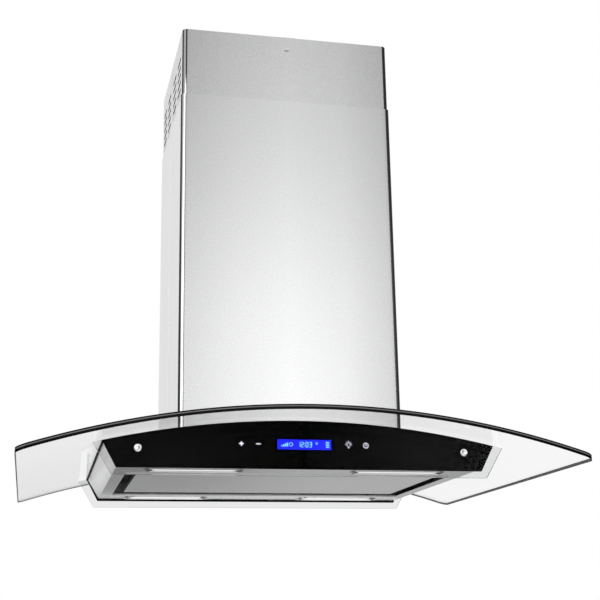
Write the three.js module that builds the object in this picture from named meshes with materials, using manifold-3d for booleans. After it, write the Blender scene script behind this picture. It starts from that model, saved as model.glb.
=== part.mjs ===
// Island range hood with an arched glass canopy, a telescoping steel chimney and a centrifugal blower.
// Millimetres, +Z up, +X to the right of someone facing the control panel, +Y away from them.
// The origin is the middle of the ceiling plate's top face, so the whole hood hangs below z = 0.
import * as THREE from 'three';
import { mergeVertices } from 'three/addons/utils/BufferGeometryUtils.js';
import Module from 'manifold-3d';

const wasm = await Module();
wasm.setup();

// ---- driving dimensions -------------------------------------------------------------------------
const GAP = 0.3; // left between pieces that touch or are cut by each other
const SHEET = 1.2; // folded steel of the body and the perimeter panel

// chimney covers, telescoping
const LOWER_COVER_WIDTH = 386;
const LOWER_COVER_DEPTH = 326;
const LOWER_COVER_LENGTH = 593; // from its top edge to the top of the glass, at the middle
const UPPER_COVER_LENGTH = 420;
const UPPER_SHOWN = 128; // of the upper cover, above the lower one
const COVER_SHEET = 1;
const COVER_FOLD = 6; // outside radius of a cover's folded corners
const COVER_SLIDE_FIT = 0.8; // between the lower cover's inside and the upper cover
const COVER_SEAM = 0.4; // between the front and rear halves of a cover
const CEILING_GAP = 1;
const VENT_ROWS = 6;
const VENT_COLUMNS = [-112, -43, 43, 112]; // middle of each slot, from the cover's seam
const VENT_LENGTH = 46;
const VENT_HEIGHT = 6.5;
const VENT_CHAMFER = 2;
const VENT_PITCH = 15.2;
const VENT_FIRST = 46.5; // from the upper cover's top edge to the first row

// mounting frame
const CEILING_PLATE = 2;
const DUCT_HOLE_DIAMETER = 170;
const CEILING_SLOT = [24, 8]; // fixing slots of the ceiling plate, length and width
const CEILING_SLOT_INSET = [30, 16]; // from the plate's edges to a slot's middle
const COVER_SCREW_DROP = 24; // from the cover's top edge to its fixing screw
const COVER_SCREW_SLOT = [10, 7]; // in the cover, length and height
const COVER_SCREW_THREAD = 3.8;
const COVER_SCREW_LENGTH = 9;
const COVER_SCREW_HEAD = 10.8;
const COVER_SCREW_HEAD_HEIGHT = 2.2;
const TAB_WIDTH = 36; // tongues of the ceiling plate that the cover screws hold
const TAB_BELOW_SCREW = 12;
const LEG_FLANGE = 28;
const LEG_SHEET = 1.6;
const LEG_TO_COVER = 2.2;
const LEG_NEST_FIT = 0.5; // between an upper leg and the lower leg inside it
const UPPER_LEG_LENGTH = 400;
const LOWER_LEG_LENGTH = 650;
const HEIGHT_TRAVEL = 250;
const LEG_SCREW_DIAMETER = 6;
const LEG_SCREW_RISE = 16; // from an upper leg's end to its clamp screw
const LEG_SCREW_HEAD = 4;
const LEG_SCREW_END = 5; // past the outside of the nested legs
const BASE_RISE = 9; // from the top of the glass to the top of the base frame
const BASE_SHEET = 3;
const BASE_TO_COVER = 7; // from the lower cover's inside
const STUD_DIAMETER = 8;
const STUD_INSET = 9; // from the base frame's sides
const STUD_FROM_END = 15; // from its front and rear edges
const STUD_HOLE_FIT = 3; // round each stud in the glass

// glass canopy
const GLASS_WIDTH = 900;
const GLASS_DEPTH = 720;
const GLASS_THICKNESS = 8;
const GLASS_CORNER = 18;
const ARCH_RADIUS = 1450; // of the underside

// body under the glass
const BODY_DEPTH = 496;
const BODY_HEIGHT = 74; // at the middle, from the underside of the glass
const BODY_BOTTOM_WIDTH = 594;
const BODY_TOP_WIDTH = 638;
const SIDE_FLANGE = 21; // of the body's floor, beside the intake
const LONG_FLANGE = 96; // in front of the intake and behind it
const SEAL_WIDTH = 2;
const SEAL_HEIGHT = 2.5;
const SEAL_FROM_END = 1;
const THROAT_LIP = 6; // of the body, inside the motor box's walls

// glass plates on the front and rear faces, each over a black backing plate
const BACKING_THICKNESS = 3;
const BACKING_BOTTOM_WIDTH = 600;
const BACKING_TOP_WIDTH = 644;
const BACKING_DROP = 3.5; // below the body
const PLATE_THICKNESS = 5;
const PLATE_BOTTOM_WIDTH = 611;
const PLATE_TOP_WIDTH = 670;
const PLATE_DROP = 15;
const CAP_DIAMETER = 13;
const CAP_HEIGHT = 5;
const CAP_SPACING = 532;
const CAP_BELOW_GLASS = 48.5; // below the underside of the glass at the middle
const CAP_EDGE = 1.5;
const CAP_SOCKET_RADIUS = 2.4;
const CAP_SOCKET_DEPTH = 3;
const SHANK_INSIDE_BODY = 6;
const SHANK_DIAMETER = 6;
const LCD_WIDTH = 88;
const LCD_HEIGHT = 15.6;
const LCD_THICKNESS = 14;
const LCD_BELOW_GLASS = 38;
const LCD_WINDOW_FIT = 1; // in the body; the backing fits it closely
const BOARD_WIDTH = 240;
const BOARD_HEIGHT = 28;
const BOARD_THICKNESS = 1.6;

// lamps in the bottom flanges
const LAMP_LENGTH = 155;
const LAMP_WIDTH = 30;
const LAMP_DEPTH = 14;
const LAMP_RIM = 3;
const LAMP_RIM_SHEET = 1.2;
const LAMP_SPACING = 340;
const FRONT_LAMP_INSET = 50; // from the body's front face to the lamp's middle
const REAR_LAMP_INSET = 33;

// perimeter panel and its hinge
const PANEL_MARGIN = 19; // air gap all round, between the panel and the intake's edge
const PANEL_HEIGHT = 9;
const PANEL_RECESS = 1;
const HINGE_BEHIND_PANEL = 9;
const HINGE_RISE = 6; // from the panel's underside
const HINGE_SPACING = 400;
const HINGE_PIN_DIAMETER = 4;
const LUG_WIDTH = 10;
const LUG_RADIUS = 4.2;
const LUG_ARM = 5;
const LUG_BORE_FIT = 0.5;
const EAR_RADIUS = 5.5;
const EAR_SHEET = 2;
const EAR_TO_LUG = 0.5;
const EAR_FOOT = 12; // along the flange, behind the intake's edge
const PIN_PAST_EAR = 2;
const CATCH_SPACING = 320;
const CATCH_WIDTH = 22;
const CATCH_NOSE_WIDTH = 14;
const CATCH_FOOT = 12;
const CATCH_FOOT_HEIGHT = 3;
const CATCH_NOSE_HEIGHT = 6;

// grease filters
const FILTER_WIDTH = 252;
const FILTER_DEPTH = 268;
const FILTER_THICKNESS = 10;
const FILTER_RISE = 19; // from the body's underside to the filters
const FILTER_SPLIT = 8; // between the two filters
const FILTER_LIP = 8; // of the filter frame, over each filter's edge
const FILTER_RIM = 14;
const FRAME_TO_BODY = 2;
const FRAME_NOTCH_FIT = 5; // round the control board
const BAFFLE_SLOTS = 8;
const BAFFLE_SLOT_WIDTH = 12;
const LATCH_WIDTH = 44;
const LATCH_DEPTH = 16;
const LATCH_TRAVEL = 6;
const LATCH_FIT = 0.5;
const LATCH_FROM_EDGE = 5; // of the filter
const LATCH_THICKNESS = 4.1;
const GRIP_INSET = 6;
const GRIP_THICKNESS = 4;
const GRIP_DROP = 3;

// motor box and blower
const BOX_WIDTH = 296;
const BOX_DEPTH = 256;
const BOX_HEIGHT = 208; // above the base frame
const BOX_SHEET = 1.5;
const BOX_FOOT = 14; // foot flange on the base frame
const BOX_FIT = 2; // round the box in the base frame and the glass
const SUPPLY_DEPTH = 26;
const SUPPLY_WIDTH = 76;
const SUPPLY_HEIGHT = 90;
const SUPPLY_DROP = 150; // from the motor box's top to the supply box's foot
const GLAND_FORWARD = 12;
const SCROLL_WIDTH = 104;
const SCROLL_WALL = 2.5;
const SCROLL_SMALL_RADIUS = 72;
const SCROLL_LARGE_RADIUS = 98;
const SCROLL_AXIS_DROP = 120; // from the motor box's top
const SCROLL_AXIS_FORWARD = 38;
const INLET_RADIUS = 56;
const IMPELLER_DIAMETER = 130;
const IMPELLER_WIDTH = 88;
const BLADE_COUNT = 18;
const BLADE_DEPTH = 13;
const BLADE_SHEET = 1.5;
const BLADE_TILT = 0.6; // radians from the radius
const IMPELLER_RING = 2;
const HUB_RADIUS = 12;
const HUB_BACK = 4.5;
const HUB_FRONT = 12;
const MOTOR_DIAMETER = 70;
const SHAFT_DIAMETER = 8;
const SHAFT_FIT = 0.4;
const SHAFT_END = 16; // from the middle of the impeller
const MOTOR_END = -6;
const BRACKET_SHEET = 2;
const BRACKET_RADIUS = 24;
const BRACKET_ARM = 14;
const BRACKET_OVERLAP = 8; // of each arm on the scroll's wall

// outlet collar and its non-return flaps
const COLLAR_DIAMETER = 150;
const COLLAR_HEIGHT = 55;
const COLLAR_WALL = 1.8;
const COLLAR_FLANGE = 14;
const FLAP_SHEET = 1.2;
const FLAP_FIT = 2; // between a flap's rim and the collar
const FLAP_RISE = 24; // from the collar's foot to the flaps
const FLAP_PIN_DIAMETER = 4;
const COLLAR_FLANGE_SHEET = 2;
const KNUCKLE_RADIUS = 3.4;
const KNUCKLE_FROM_MIDDLE = 4;
const KNUCKLE_FROM_RIM = 14;

// ---- places that follow from them ---------------------------------------------------------------
const upperWidth = LOWER_COVER_WIDTH - 2 * (COVER_SHEET + COVER_SLIDE_FIT);
const upperDepth = LOWER_COVER_DEPTH - 2 * (COVER_SHEET + COVER_SLIDE_FIT);
const upperTopZ = -CEILING_GAP;
const lowerTopZ = upperTopZ - UPPER_SHOWN;
const glassTopZ = lowerTopZ - LOWER_COVER_LENGTH;
const glassUnderZ = glassTopZ - GLASS_THICKNESS;
const archCentreZ = glassUnderZ - ARCH_RADIUS;
const bodyBottomZ = glassUnderZ - BODY_HEIGHT;
const bodyFrontY = -BODY_DEPTH / 2;
const baseTopZ = glassTopZ + BASE_RISE;
const baseWidth = LOWER_COVER_WIDTH - 2 * (COVER_SHEET + BASE_TO_COVER);
const baseDepth = LOWER_COVER_DEPTH - 2 * (COVER_SHEET + BASE_TO_COVER);
const boxTopZ = baseTopZ + BOX_HEIGHT;
const upperLegX = upperWidth / 2 - COVER_SHEET - LEG_TO_COVER;
const upperLegY = upperDepth / 2 - COVER_SHEET - LEG_TO_COVER;
const legNest = LEG_SHEET + LEG_NEST_FIT;
const legScrewZ = -CEILING_PLATE - GAP - UPPER_LEG_LENGTH + LEG_SCREW_RISE;
const scrollAxisZ = boxTopZ - SCROLL_AXIS_DROP;
const scrollLip = SCROLL_SMALL_RADIUS * Math.sin(THREE.MathUtils.degToRad(15));
const outletY = (scrollLip + SCROLL_LARGE_RADIUS) / 2 - SCROLL_AXIS_FORWARD;
const intakeWidth = BODY_BOTTOM_WIDTH - 2 * SIDE_FLANGE;
const intakeDepth = BODY_DEPTH - 2 * LONG_FLANGE;
const panelWidth = intakeWidth - 2 * PANEL_MARGIN;
const panelDepth = intakeDepth - 2 * PANEL_MARGIN;
const panelUnderZ = bodyBottomZ + PANEL_RECESS;
const hingeY = panelDepth / 2 + HINGE_BEHIND_PANEL;
const hingeZ = panelUnderZ + HINGE_RISE;
const filterUnderZ = bodyBottomZ + FILTER_RISE;
const filterX = (FILTER_WIDTH + FILTER_SPLIT) / 2;

// ---- finishes -----------------------------------------------------------------------------------
const finish = (color, roughness, metalness) => ({ color, roughness, metalness });
const BRUSHED_STEEL = finish(0xc4c4c6, 0.35, 1);
const ZINC_STEEL = finish(0xa9adb0, 0.5, 1);
const POLISHED_CHROME = finish(0xe6e6e8, 0.08, 1);
const CLEAR_GLASS = finish(0xe4ebea, 0.03, 0);
const BLACK_BACKING = finish(0x0c0c0e, 0.15, 0);
const BLACK_PLASTIC = finish(0x1b1b1d, 0.5, 0);
const GREY_PLASTIC = finish(0x8b8f92, 0.55, 0);
const BLACK_RUBBER = finish(0x111112, 0.85, 0);
const ALUMINIUM = finish(0xb7babd, 0.4, 1);
const LAMP_LENS = finish(0xf4f4ef, 0.3, 0);
const BLUE_LCD = finish(0x1520ff, 0.2, 0);
const BOARD_GREEN = finish(0x1d5a34, 0.5, 0);

// ---- solids -------------------------------------------------------------------------------------
function toSolid(geometry) {
  const bare = geometry.clone();
  bare.deleteAttribute('normal');
  bare.deleteAttribute('uv');
  const merged = mergeVertices(bare, 1e-4);
  const vertProperties = new Float32Array(merged.attributes.position.array);
  const triVerts = new Uint32Array(merged.index.array);
  return new wasm.Manifold(new wasm.Mesh({ numProp: 3, vertProperties, triVerts }));
}

function toGeometry(solid) {
  const mesh = solid.getMesh();
  const geometry = new THREE.BufferGeometry();
  geometry.setAttribute('position', new THREE.BufferAttribute(mesh.vertProperties, 3));
  geometry.setIndex(new THREE.BufferAttribute(mesh.triVerts, 1));
  return geometry;
}

const join = (...solids) => solids.reduce((sum, next) => sum.add(next));
const cut = (body, ...tools) => tools.reduce((rest, tool) => rest.subtract(tool), body);

// a box given by its lowest and highest corners
function box([x0, y0, z0], [x1, y1, z1]) {
  const geometry = new THREE.BoxGeometry(x1 - x0, y1 - y0, z1 - z0);
  geometry.translate((x0 + x1) / 2, (y0 + y1) / 2, (z0 + z1) / 2);
  return toSolid(geometry);
}

// a flat outline in x and y, extruded from one height to another
function prismZ(shape, z0, z1, curveSegments = 8) {
  const geometry = new THREE.ExtrudeGeometry(shape, { depth: z1 - z0, bevelEnabled: false, curveSegments });
  geometry.translate(0, 0, z0);
  return toSolid(geometry);
}

// an outline in x and z, extruded from y0 back to y1
function prismY(shape, y0, y1, curveSegments = 8) {
  const geometry = new THREE.ExtrudeGeometry(shape, { depth: y1 - y0, bevelEnabled: false, curveSegments });
  geometry.rotateX(Math.PI / 2);
  geometry.translate(0, y1, 0);
  return toSolid(geometry);
}

// an outline in y and z, extruded from x0 to x1
function prismX(shape, x0, x1, curveSegments = 8) {
  const geometry = new THREE.ExtrudeGeometry(shape, { depth: x1 - x0, bevelEnabled: false, curveSegments });
  geometry.rotateX(Math.PI / 2);
  geometry.rotateZ(Math.PI / 2);
  geometry.translate(x0, 0, 0);
  return toSolid(geometry);
}

const outline = (points) => new THREE.Shape(points.map(([u, v]) => new THREE.Vector2(u, v)));

function circle(radius, u = 0, v = 0) {
  const shape = new THREE.Shape();
  shape.absarc(u, v, radius, 0, 2 * Math.PI);
  return shape;
}

function roundedRectangle(width, height, radius, u = 0, v = 0) {
  const halfU = width / 2;
  const halfV = height / 2;
  const shape = new THREE.Shape();
  shape.absarc(u + halfU - radius, v + halfV - radius, radius, 0, Math.PI / 2);
  shape.absarc(u - halfU + radius, v + halfV - radius, radius, Math.PI / 2, Math.PI);
  shape.absarc(u - halfU + radius, v - halfV + radius, radius, Math.PI, 1.5 * Math.PI);
  shape.absarc(u + halfU - radius, v - halfV + radius, radius, 1.5 * Math.PI, 2 * Math.PI);
  return shape;
}

// height of the arch through a radius, at a distance from the middle
const archZ = (x, radius) => archCentreZ + Math.sqrt(radius * radius - x * x);

// everything below the arch of one radius
function underArch(radius, halfWidth, y0, y1) {
  const steps = 20;
  const floorZ = Math.min(bodyBottomZ, archZ(halfWidth, radius)) - 60;
  const points = [[-halfWidth, floorZ], [halfWidth, floorZ]];
  for (let i = 0; i <= steps; i += 1) {
    const x = halfWidth * (1 - (2 * i) / steps);
    points.push([x, archZ(x, radius)]);
  }
  return prismY(outline(points), y0, y1);
}

function piece(name, solid, look) {
  const mesh = new THREE.Mesh(toGeometry(solid), new THREE.MeshStandardMaterial(look));
  mesh.name = name;
  return mesh;
}

const at = (mesh, x, y, z) => {
  mesh.position.set(x, y, z);
  return mesh;
};

const sides = [['left', -1], ['right', 1]];
const ends = [['front', -1], ['rear', 1]];

// ---- ceiling plate and mounting frame -----------------------------------------------------------
function ceilingPlate() {
  const slotX = upperLegX - CEILING_SLOT_INSET[0];
  const slotY = upperLegY - CEILING_SLOT_INSET[1];
  const slots = sides.flatMap(([, sx]) => ends.map(([, sy]) => prismZ(
    roundedRectangle(...CEILING_SLOT, CEILING_SLOT[1] / 2, sx * slotX, sy * slotY), -CEILING_PLATE - 1, 1, 2)));
  const sheet = box([-upperLegX, -upperLegY, -CEILING_PLATE], [upperLegX, upperLegY, 0]);
  const ductHole = prismZ(circle(DUCT_HOLE_DIAMETER / 2), -CEILING_PLATE - 1, 1, 12);
  const plate = join(cut(sheet, ductHole, ...slots), ...ends.map(([, sy]) => coverTab(sy)));
  const screwHole = circle(COVER_SCREW_THREAD / 2 + GAP, 0, upperTopZ - COVER_SCREW_DROP);
  return piece('ceiling_plate', cut(plate, prismY(screwHole, -upperDepth, upperDepth, 6)), ZINC_STEEL);
}

// a tongue folded down behind a cover, for the cover's fixing screw
function coverTab(sy) {
  const half = TAB_WIDTH / 2;
  const outer = upperDepth / 2 - COVER_SHEET - GAP;
  const inner = outer - CEILING_PLATE;
  const bottom = upperTopZ - COVER_SCREW_DROP - TAB_BELOW_SCREW;
  const bridge = box([-half, upperLegY - CEILING_PLATE, -CEILING_PLATE], [half, outer, 0]);
  const tongue = box([-half, inner, bottom], [half, outer, 0]);
  const tab = join(bridge, tongue);
  return sy > 0 ? tab : tab.mirror([0, 1, 0]);
}

// an angle section: its corner at the origin, its flanges towards -x and -y, its top at z = 0
function angleSection(length) {
  const corner = box([-LEG_FLANGE, -LEG_FLANGE, -length], [0, 0, 0]);
  return cut(corner, box([-LEG_FLANGE - 1, -LEG_FLANGE - 1, -length - 1], [-LEG_SHEET, -LEG_SHEET, 1]));
}

// turns a corner piece made for +x +y into the corner on sides sx, sy
function atCorner(solid, sx, sy) {
  const mirrored = sx > 0 ? solid : solid.mirror([1, 0, 0]);
  return sy > 0 ? mirrored : mirrored.mirror([0, 1, 0]);
}

function legScrewHole(z, diameter) {
  const hole = new THREE.CylinderGeometry(diameter / 2, diameter / 2, 4 * LEG_SHEET + 8, 12);
  hole.rotateZ(Math.PI / 2);
  hole.translate(0, -LEG_FLANGE / 2, z);
  return toSolid(hole);
}

function upperLegs() {
  const drop = CEILING_PLATE + GAP;
  const leg = cut(angleSection(UPPER_LEG_LENGTH), legScrewHole(legScrewZ + drop, LEG_SCREW_DIAMETER + 2 * GAP));
  return sides.flatMap(([nameX, sx]) => ends.map(([nameY, sy]) => {
    const mesh = piece(`upper_leg_${nameY}_${nameX}`, atCorner(leg, sx, sy), ZINC_STEEL);
    return at(mesh, sx * upperLegX, sy * upperLegY, -drop);
  }));
}

function lowerLegs() {
  const footZ = baseTopZ + GAP;
  const topZ = footZ + LOWER_LEG_LENGTH;
  const width = LEG_SCREW_DIAMETER + 2 * GAP;
  const slotLow = legScrewZ - topZ - width / 2;
  const slotHigh = slotLow + HEIGHT_TRAVEL + width;
  const slotMiddle = LEG_FLANGE / 2 - legNest;
  const slot = box([-LEG_SHEET - 1, -slotMiddle - width / 2, slotLow], [1, -slotMiddle + width / 2, slotHigh]);
  const leg = cut(angleSection(LOWER_LEG_LENGTH), slot);
  return sides.flatMap(([nameX, sx]) => ends.map(([nameY, sy]) => {
    const mesh = piece(`lower_leg_${nameY}_${nameX}`, atCorner(leg, sx, sy), ZINC_STEEL);
    return at(mesh, sx * (upperLegX - legNest), sy * (upperLegY - legNest), topZ);
  }));
}

// clamp screw through a nested pair of legs, its head inside and its nut outside
function legScrews() {
  const radius = LEG_SCREW_DIAMETER / 2;
  const insideX = -legNest - LEG_SHEET - GAP;
  const shankLength = legNest + LEG_SCREW_END;
  const shank = new THREE.CylinderGeometry(radius, radius, shankLength, 12);
  shank.rotateZ(Math.PI / 2);
  shank.translate(insideX - 1 + shankLength / 2, 0, 0);
  const head = new THREE.CylinderGeometry(radius * 1.8, radius * 1.8, LEG_SCREW_HEAD, 6);
  head.rotateZ(Math.PI / 2);
  head.translate(insideX - LEG_SCREW_HEAD / 2, 0, 0);
  const screw = join(toSolid(shank), toSolid(head));
  return sides.flatMap(([nameX, sx]) => ends.map(([nameY, sy]) => {
    const mesh = piece(`leg_screw_${nameY}_${nameX}`, atCorner(screw, sx, sy), ZINC_STEEL);
    return at(mesh, sx * upperLegX, sy * (upperLegY - LEG_FLANGE / 2), legScrewZ);
  }));
}

function studPlaces() {
  const x = baseWidth / 2 - STUD_INSET;
  const y = baseDepth / 2 - STUD_FROM_END;
  return sides.flatMap(([, sx]) => ends.map(([, sy]) => [sx * x, sy * y]));
}

// flat ring on the glass, with four studs down through the glass to the body
function baseFrame() {
  const bottomZ = baseTopZ - BASE_SHEET;
  const holeX = BOX_WIDTH / 2 + BOX_FIT;
  const holeY = BOX_DEPTH / 2 + BOX_FIT;
  const ring = cut(
    prismZ(roundedRectangle(baseWidth, baseDepth, 6), bottomZ, baseTopZ, 2),
    box([-holeX, -holeY, bottomZ - 1], [holeX, holeY, baseTopZ + 1]),
  );
  const studs = studPlaces().map(([x, y]) => {
    const end = archZ(Math.abs(x) - STUD_DIAMETER / 2, ARCH_RADIUS);
    return prismZ(circle(STUD_DIAMETER / 2, x, y), end, baseTopZ - 1, 6);
  });
  return piece('base_frame', join(ring, ...studs), ZINC_STEEL);
}

// ---- chimney covers -----------------------------------------------------------------------------
// one half of a square tube, split at y = 0, with its corners folded to a small radius
function coverHalf(width, depth, z0, z1, sy) {
  const insideFold = COVER_FOLD - COVER_SHEET;
  const hollow = roundedRectangle(width - 2 * COVER_SHEET, depth - 2 * COVER_SHEET, insideFold);
  const outer = prismZ(roundedRectangle(width, depth, COVER_FOLD), z0, z1, 2);
  const inner = prismZ(hollow, z0 - 1, z1 + 1, 2);
  const tube = cut(outer, inner);
  const kept = sy > 0
    ? box([-width, COVER_SEAM / 2, z0 - 1], [width, depth, z1 + 1])
    : box([-width, -depth, z0 - 1], [width, -COVER_SEAM / 2, z1 + 1]);
  return tube.intersect(kept);
}

// a slot with chamfered corners
function chamferedSlot(length, height, u, v) {
  const halfU = length / 2;
  const halfV = height / 2;
  const endV = halfV - VENT_CHAMFER;
  const endU = halfU - VENT_CHAMFER;
  return outline([
    [u + halfU, v + endV], [u + endU, v + halfV], [u - endU, v + halfV], [u - halfU, v + endV],
    [u - halfU, v - endV], [u - endU, v - halfV], [u + endU, v - halfV], [u + halfU, v - endV],
  ]);
}

function ventSlots() {
  const slots = [];
  for (const y of VENT_COLUMNS) {
    for (let row = 0; row < VENT_ROWS; row += 1) {
      const z = upperTopZ - VENT_FIRST - row * VENT_PITCH;
      slots.push(prismX(chamferedSlot(VENT_LENGTH, VENT_HEIGHT, y, z), -upperWidth, upperWidth));
    }
  }
  return slots;
}

function upperCovers() {
  const bottomZ = upperTopZ - UPPER_COVER_LENGTH;
  const slots = ventSlots();
  return ends.map(([name, sy]) => {
    const half = coverHalf(upperWidth, upperDepth, bottomZ, upperTopZ, sy);
    const [slotLength, slotHeight] = COVER_SCREW_SLOT;
    const screwZ = upperTopZ - COVER_SCREW_DROP;
    const screwHole = roundedRectangle(slotLength, slotHeight, slotHeight / 2, 0, screwZ);
    const faceY = (sy * upperDepth) / 2;
    const drilled = cut(half, prismY(screwHole, faceY - 3, faceY + 3, 3), ...slots);
    return piece(`upper_cover_${name}`, drilled, BRUSHED_STEEL);
  });
}

function coverScrews() {
  const thread = COVER_SCREW_THREAD / 2;
  const headRadius = COVER_SCREW_HEAD / 2;
  const shank = new THREE.CylinderGeometry(thread, thread, COVER_SCREW_LENGTH, 12);
  shank.translate(0, GAP + 1 - COVER_SCREW_LENGTH / 2, 0);
  const head = new THREE.CylinderGeometry(headRadius * 0.8, headRadius, COVER_SCREW_HEAD_HEIGHT, 16);
  head.translate(0, GAP + COVER_SCREW_HEAD_HEIGHT / 2, 0);
  const screw = join(toSolid(shank), toSolid(head));
  return ends.map(([name, sy]) => {
    const mesh = piece(`cover_screw_${name}`, screw, ZINC_STEEL);
    mesh.rotation.z = sy > 0 ? 0 : Math.PI;
    return at(mesh, 0, (sy * upperDepth) / 2, upperTopZ - COVER_SCREW_DROP);
  });
}

function lowerCovers() {
  const low = archZ(LOWER_COVER_WIDTH / 2, ARCH_RADIUS) - 5;
  const glassAndBelow = underArch(ARCH_RADIUS + GLASS_THICKNESS + GAP, LOWER_COVER_WIDTH, -LOWER_COVER_DEPTH,
    LOWER_COVER_DEPTH);
  return ends.map(([name, sy]) => {
    const half = coverHalf(LOWER_COVER_WIDTH, LOWER_COVER_DEPTH, low, lowerTopZ, sy);
    return piece(`lower_cover_${name}`, cut(half, glassAndBelow), BRUSHED_STEEL);
  });
}

// ---- glass canopy -------------------------------------------------------------------------------
function canopyGlass() {
  const halfX = GLASS_WIDTH / 2 + 5;
  const halfY = GLASS_DEPTH / 2 + 5;
  const sheet = cut(
    underArch(ARCH_RADIUS + GLASS_THICKNESS, halfX, -halfY, halfY),
    underArch(ARCH_RADIUS, halfX + 1, -halfY - 1, halfY + 1),
  );
  const low = archZ(halfX, ARCH_RADIUS) - 1;
  const high = glassTopZ + 1;
  const plan = prismZ(roundedRectangle(GLASS_WIDTH, GLASS_DEPTH, GLASS_CORNER), low, high, 3);
  const throat = roundedRectangle(BOX_WIDTH + 2 * BOX_FIT, BOX_DEPTH + 2 * BOX_FIT, 4);
  const holes = studPlaces().map(([x, y]) => circle(STUD_DIAMETER / 2 + STUD_HOLE_FIT, x, y));
  const openings = [throat, ...holes].map((shape) => prismZ(shape, low, high, 4));
  return piece('canopy_glass', cut(sheet.intersect(plan), ...openings), CLEAR_GLASS);
}

// ---- body under the glass -----------------------------------------------------------------------
// the flat outline that the body and its plates share: sloping ends, and an arched top under the glass
function archedPlate(bottomWidth, topWidth, bottomZ, y0, y1, below = GAP) {
  const shoulderZ = archZ(topWidth / 2, ARCH_RADIUS - below);
  const shape = outline([
    [-bottomWidth / 2, bottomZ],
    [bottomWidth / 2, bottomZ],
    [topWidth / 2, shoulderZ],
    [topWidth / 2, glassUnderZ + 1],
    [-topWidth / 2, glassUnderZ + 1],
    [-topWidth / 2, shoulderZ],
  ]);
  return prismY(shape, y0, y1).intersect(underArch(ARCH_RADIUS - below, topWidth / 2 + 2, y0 - 1, y1 + 1));
}

function lampPlaces() {
  const x = LAMP_SPACING / 2;
  const frontY = bodyFrontY + FRONT_LAMP_INSET;
  const rearY = -bodyFrontY - REAR_LAMP_INSET;
  return sides.flatMap(([nameX, sx]) => [['front', frontY], ['rear', rearY]].map(([nameY, y]) => [
    `lamp_${nameY}_${nameX}`, sx * x, y]));
}

function hingeEar(sx) {
  const inner = HINGE_SPACING / 2 + LUG_WIDTH / 2 + EAR_TO_LUG;
  const x0 = sx > 0 ? inner : -inner - EAR_SHEET;
  const rearY = intakeDepth / 2 + EAR_FOOT;
  const eye = prismX(circle(EAR_RADIUS, hingeY, hingeZ), x0, x0 + EAR_SHEET, 6);
  const arm = box([x0, hingeY, hingeZ - 1.5], [x0 + EAR_SHEET, rearY, hingeZ + EAR_RADIUS]);
  const foot = box([x0, intakeDepth / 2 + 1, bodyBottomZ + SHEET / 2], [x0 + EAR_SHEET, rearY, hingeZ]);
  const pinHole = prismX(circle(HINGE_PIN_DIAMETER / 2 + GAP, hingeY, hingeZ), x0 - 1, x0 + EAR_SHEET + 1, 6);
  return cut(join(eye, arm, foot), pinHole);
}

function bodyShell() {
  const y1 = BODY_DEPTH / 2;
  const inner = archedPlate(BODY_BOTTOM_WIDTH - 2 * SHEET, BODY_TOP_WIDTH - 2 * SHEET, bodyBottomZ + SHEET,
    -y1 + SHEET, y1 - SHEET, GAP + SHEET);
  const intake = roundedRectangle(intakeWidth, intakeDepth, 4);
  const throat = roundedRectangle(BOX_WIDTH - 2 * THROAT_LIP, BOX_DEPTH - 2 * THROAT_LIP, THROAT_LIP);
  const lampHoles = lampPlaces().map(([, x, y]) => roundedRectangle(
    LAMP_LENGTH + 2 * GAP, LAMP_WIDTH + 2 * GAP, LAMP_WIDTH / 2 + GAP, x, y));
  const low = bodyBottomZ - 1;
  let shell = cut(
    archedPlate(BODY_BOTTOM_WIDTH, BODY_TOP_WIDTH, bodyBottomZ, -y1, y1),
    inner,
    prismZ(intake, low, bodyBottomZ + SHEET + 1, 3),
    prismZ(throat, filterUnderZ, glassTopZ, 3),
    ...lampHoles.map((shape) => prismZ(shape, low, bodyBottomZ + SHEET + 1, 2)),
  );
  const windowWidth = LCD_WIDTH + 2 * LCD_WINDOW_FIT;
  const windowHeight = LCD_HEIGHT + 2 * LCD_WINDOW_FIT;
  const windowZ = glassUnderZ - LCD_BELOW_GLASS;
  const lcdWindow = roundedRectangle(windowWidth, windowHeight, LCD_WINDOW_FIT, 0, windowZ);
  shell = cut(shell, prismY(lcdWindow, -y1 - 1, -y1 + SHEET + 1, 2));
  for (const [, sx] of sides) {
    const shankHole = circle(SHANK_DIAMETER / 2 + GAP, (sx * CAP_SPACING) / 2, glassUnderZ - CAP_BELOW_GLASS);
    shell = cut(shell, prismY(shankHole, -y1 - 1, y1 + 1, 6));
    shell = join(shell, hingeEar(sx));
  }
  return piece('body_shell', shell, BRUSHED_STEEL);
}

// black strip between the body's side and the glass
function bodySeals() {
  const y1 = BODY_DEPTH / 2 - SEAL_FROM_END;
  const inner = BODY_TOP_WIDTH / 2 + GAP;
  const outer = inner + SEAL_WIDTH;
  const band = cut(
    underArch(ARCH_RADIUS - GAP, outer + 20, -y1, y1),
    underArch(ARCH_RADIUS - GAP - SEAL_HEIGHT, outer + 21, -y1 - 1, y1 + 1),
  );
  return sides.map(([name, sx]) => {
    const x0 = sx > 0 ? inner : -outer;
    const strip = band.intersect(box([x0, -y1, bodyBottomZ], [x0 + SEAL_WIDTH, y1, glassTopZ]));
    return piece(`glass_seal_${name}`, strip, BLACK_RUBBER);
  });
}

// ---- front and rear plates ----------------------------------------------------------------------
function shankHoles(radius, y0, y1) {
  const z = glassUnderZ - CAP_BELOW_GLASS;
  return sides.map(([, sx]) => prismY(circle(radius, (sx * CAP_SPACING) / 2, z), y0 - 1, y1 + 1, 6));
}

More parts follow.
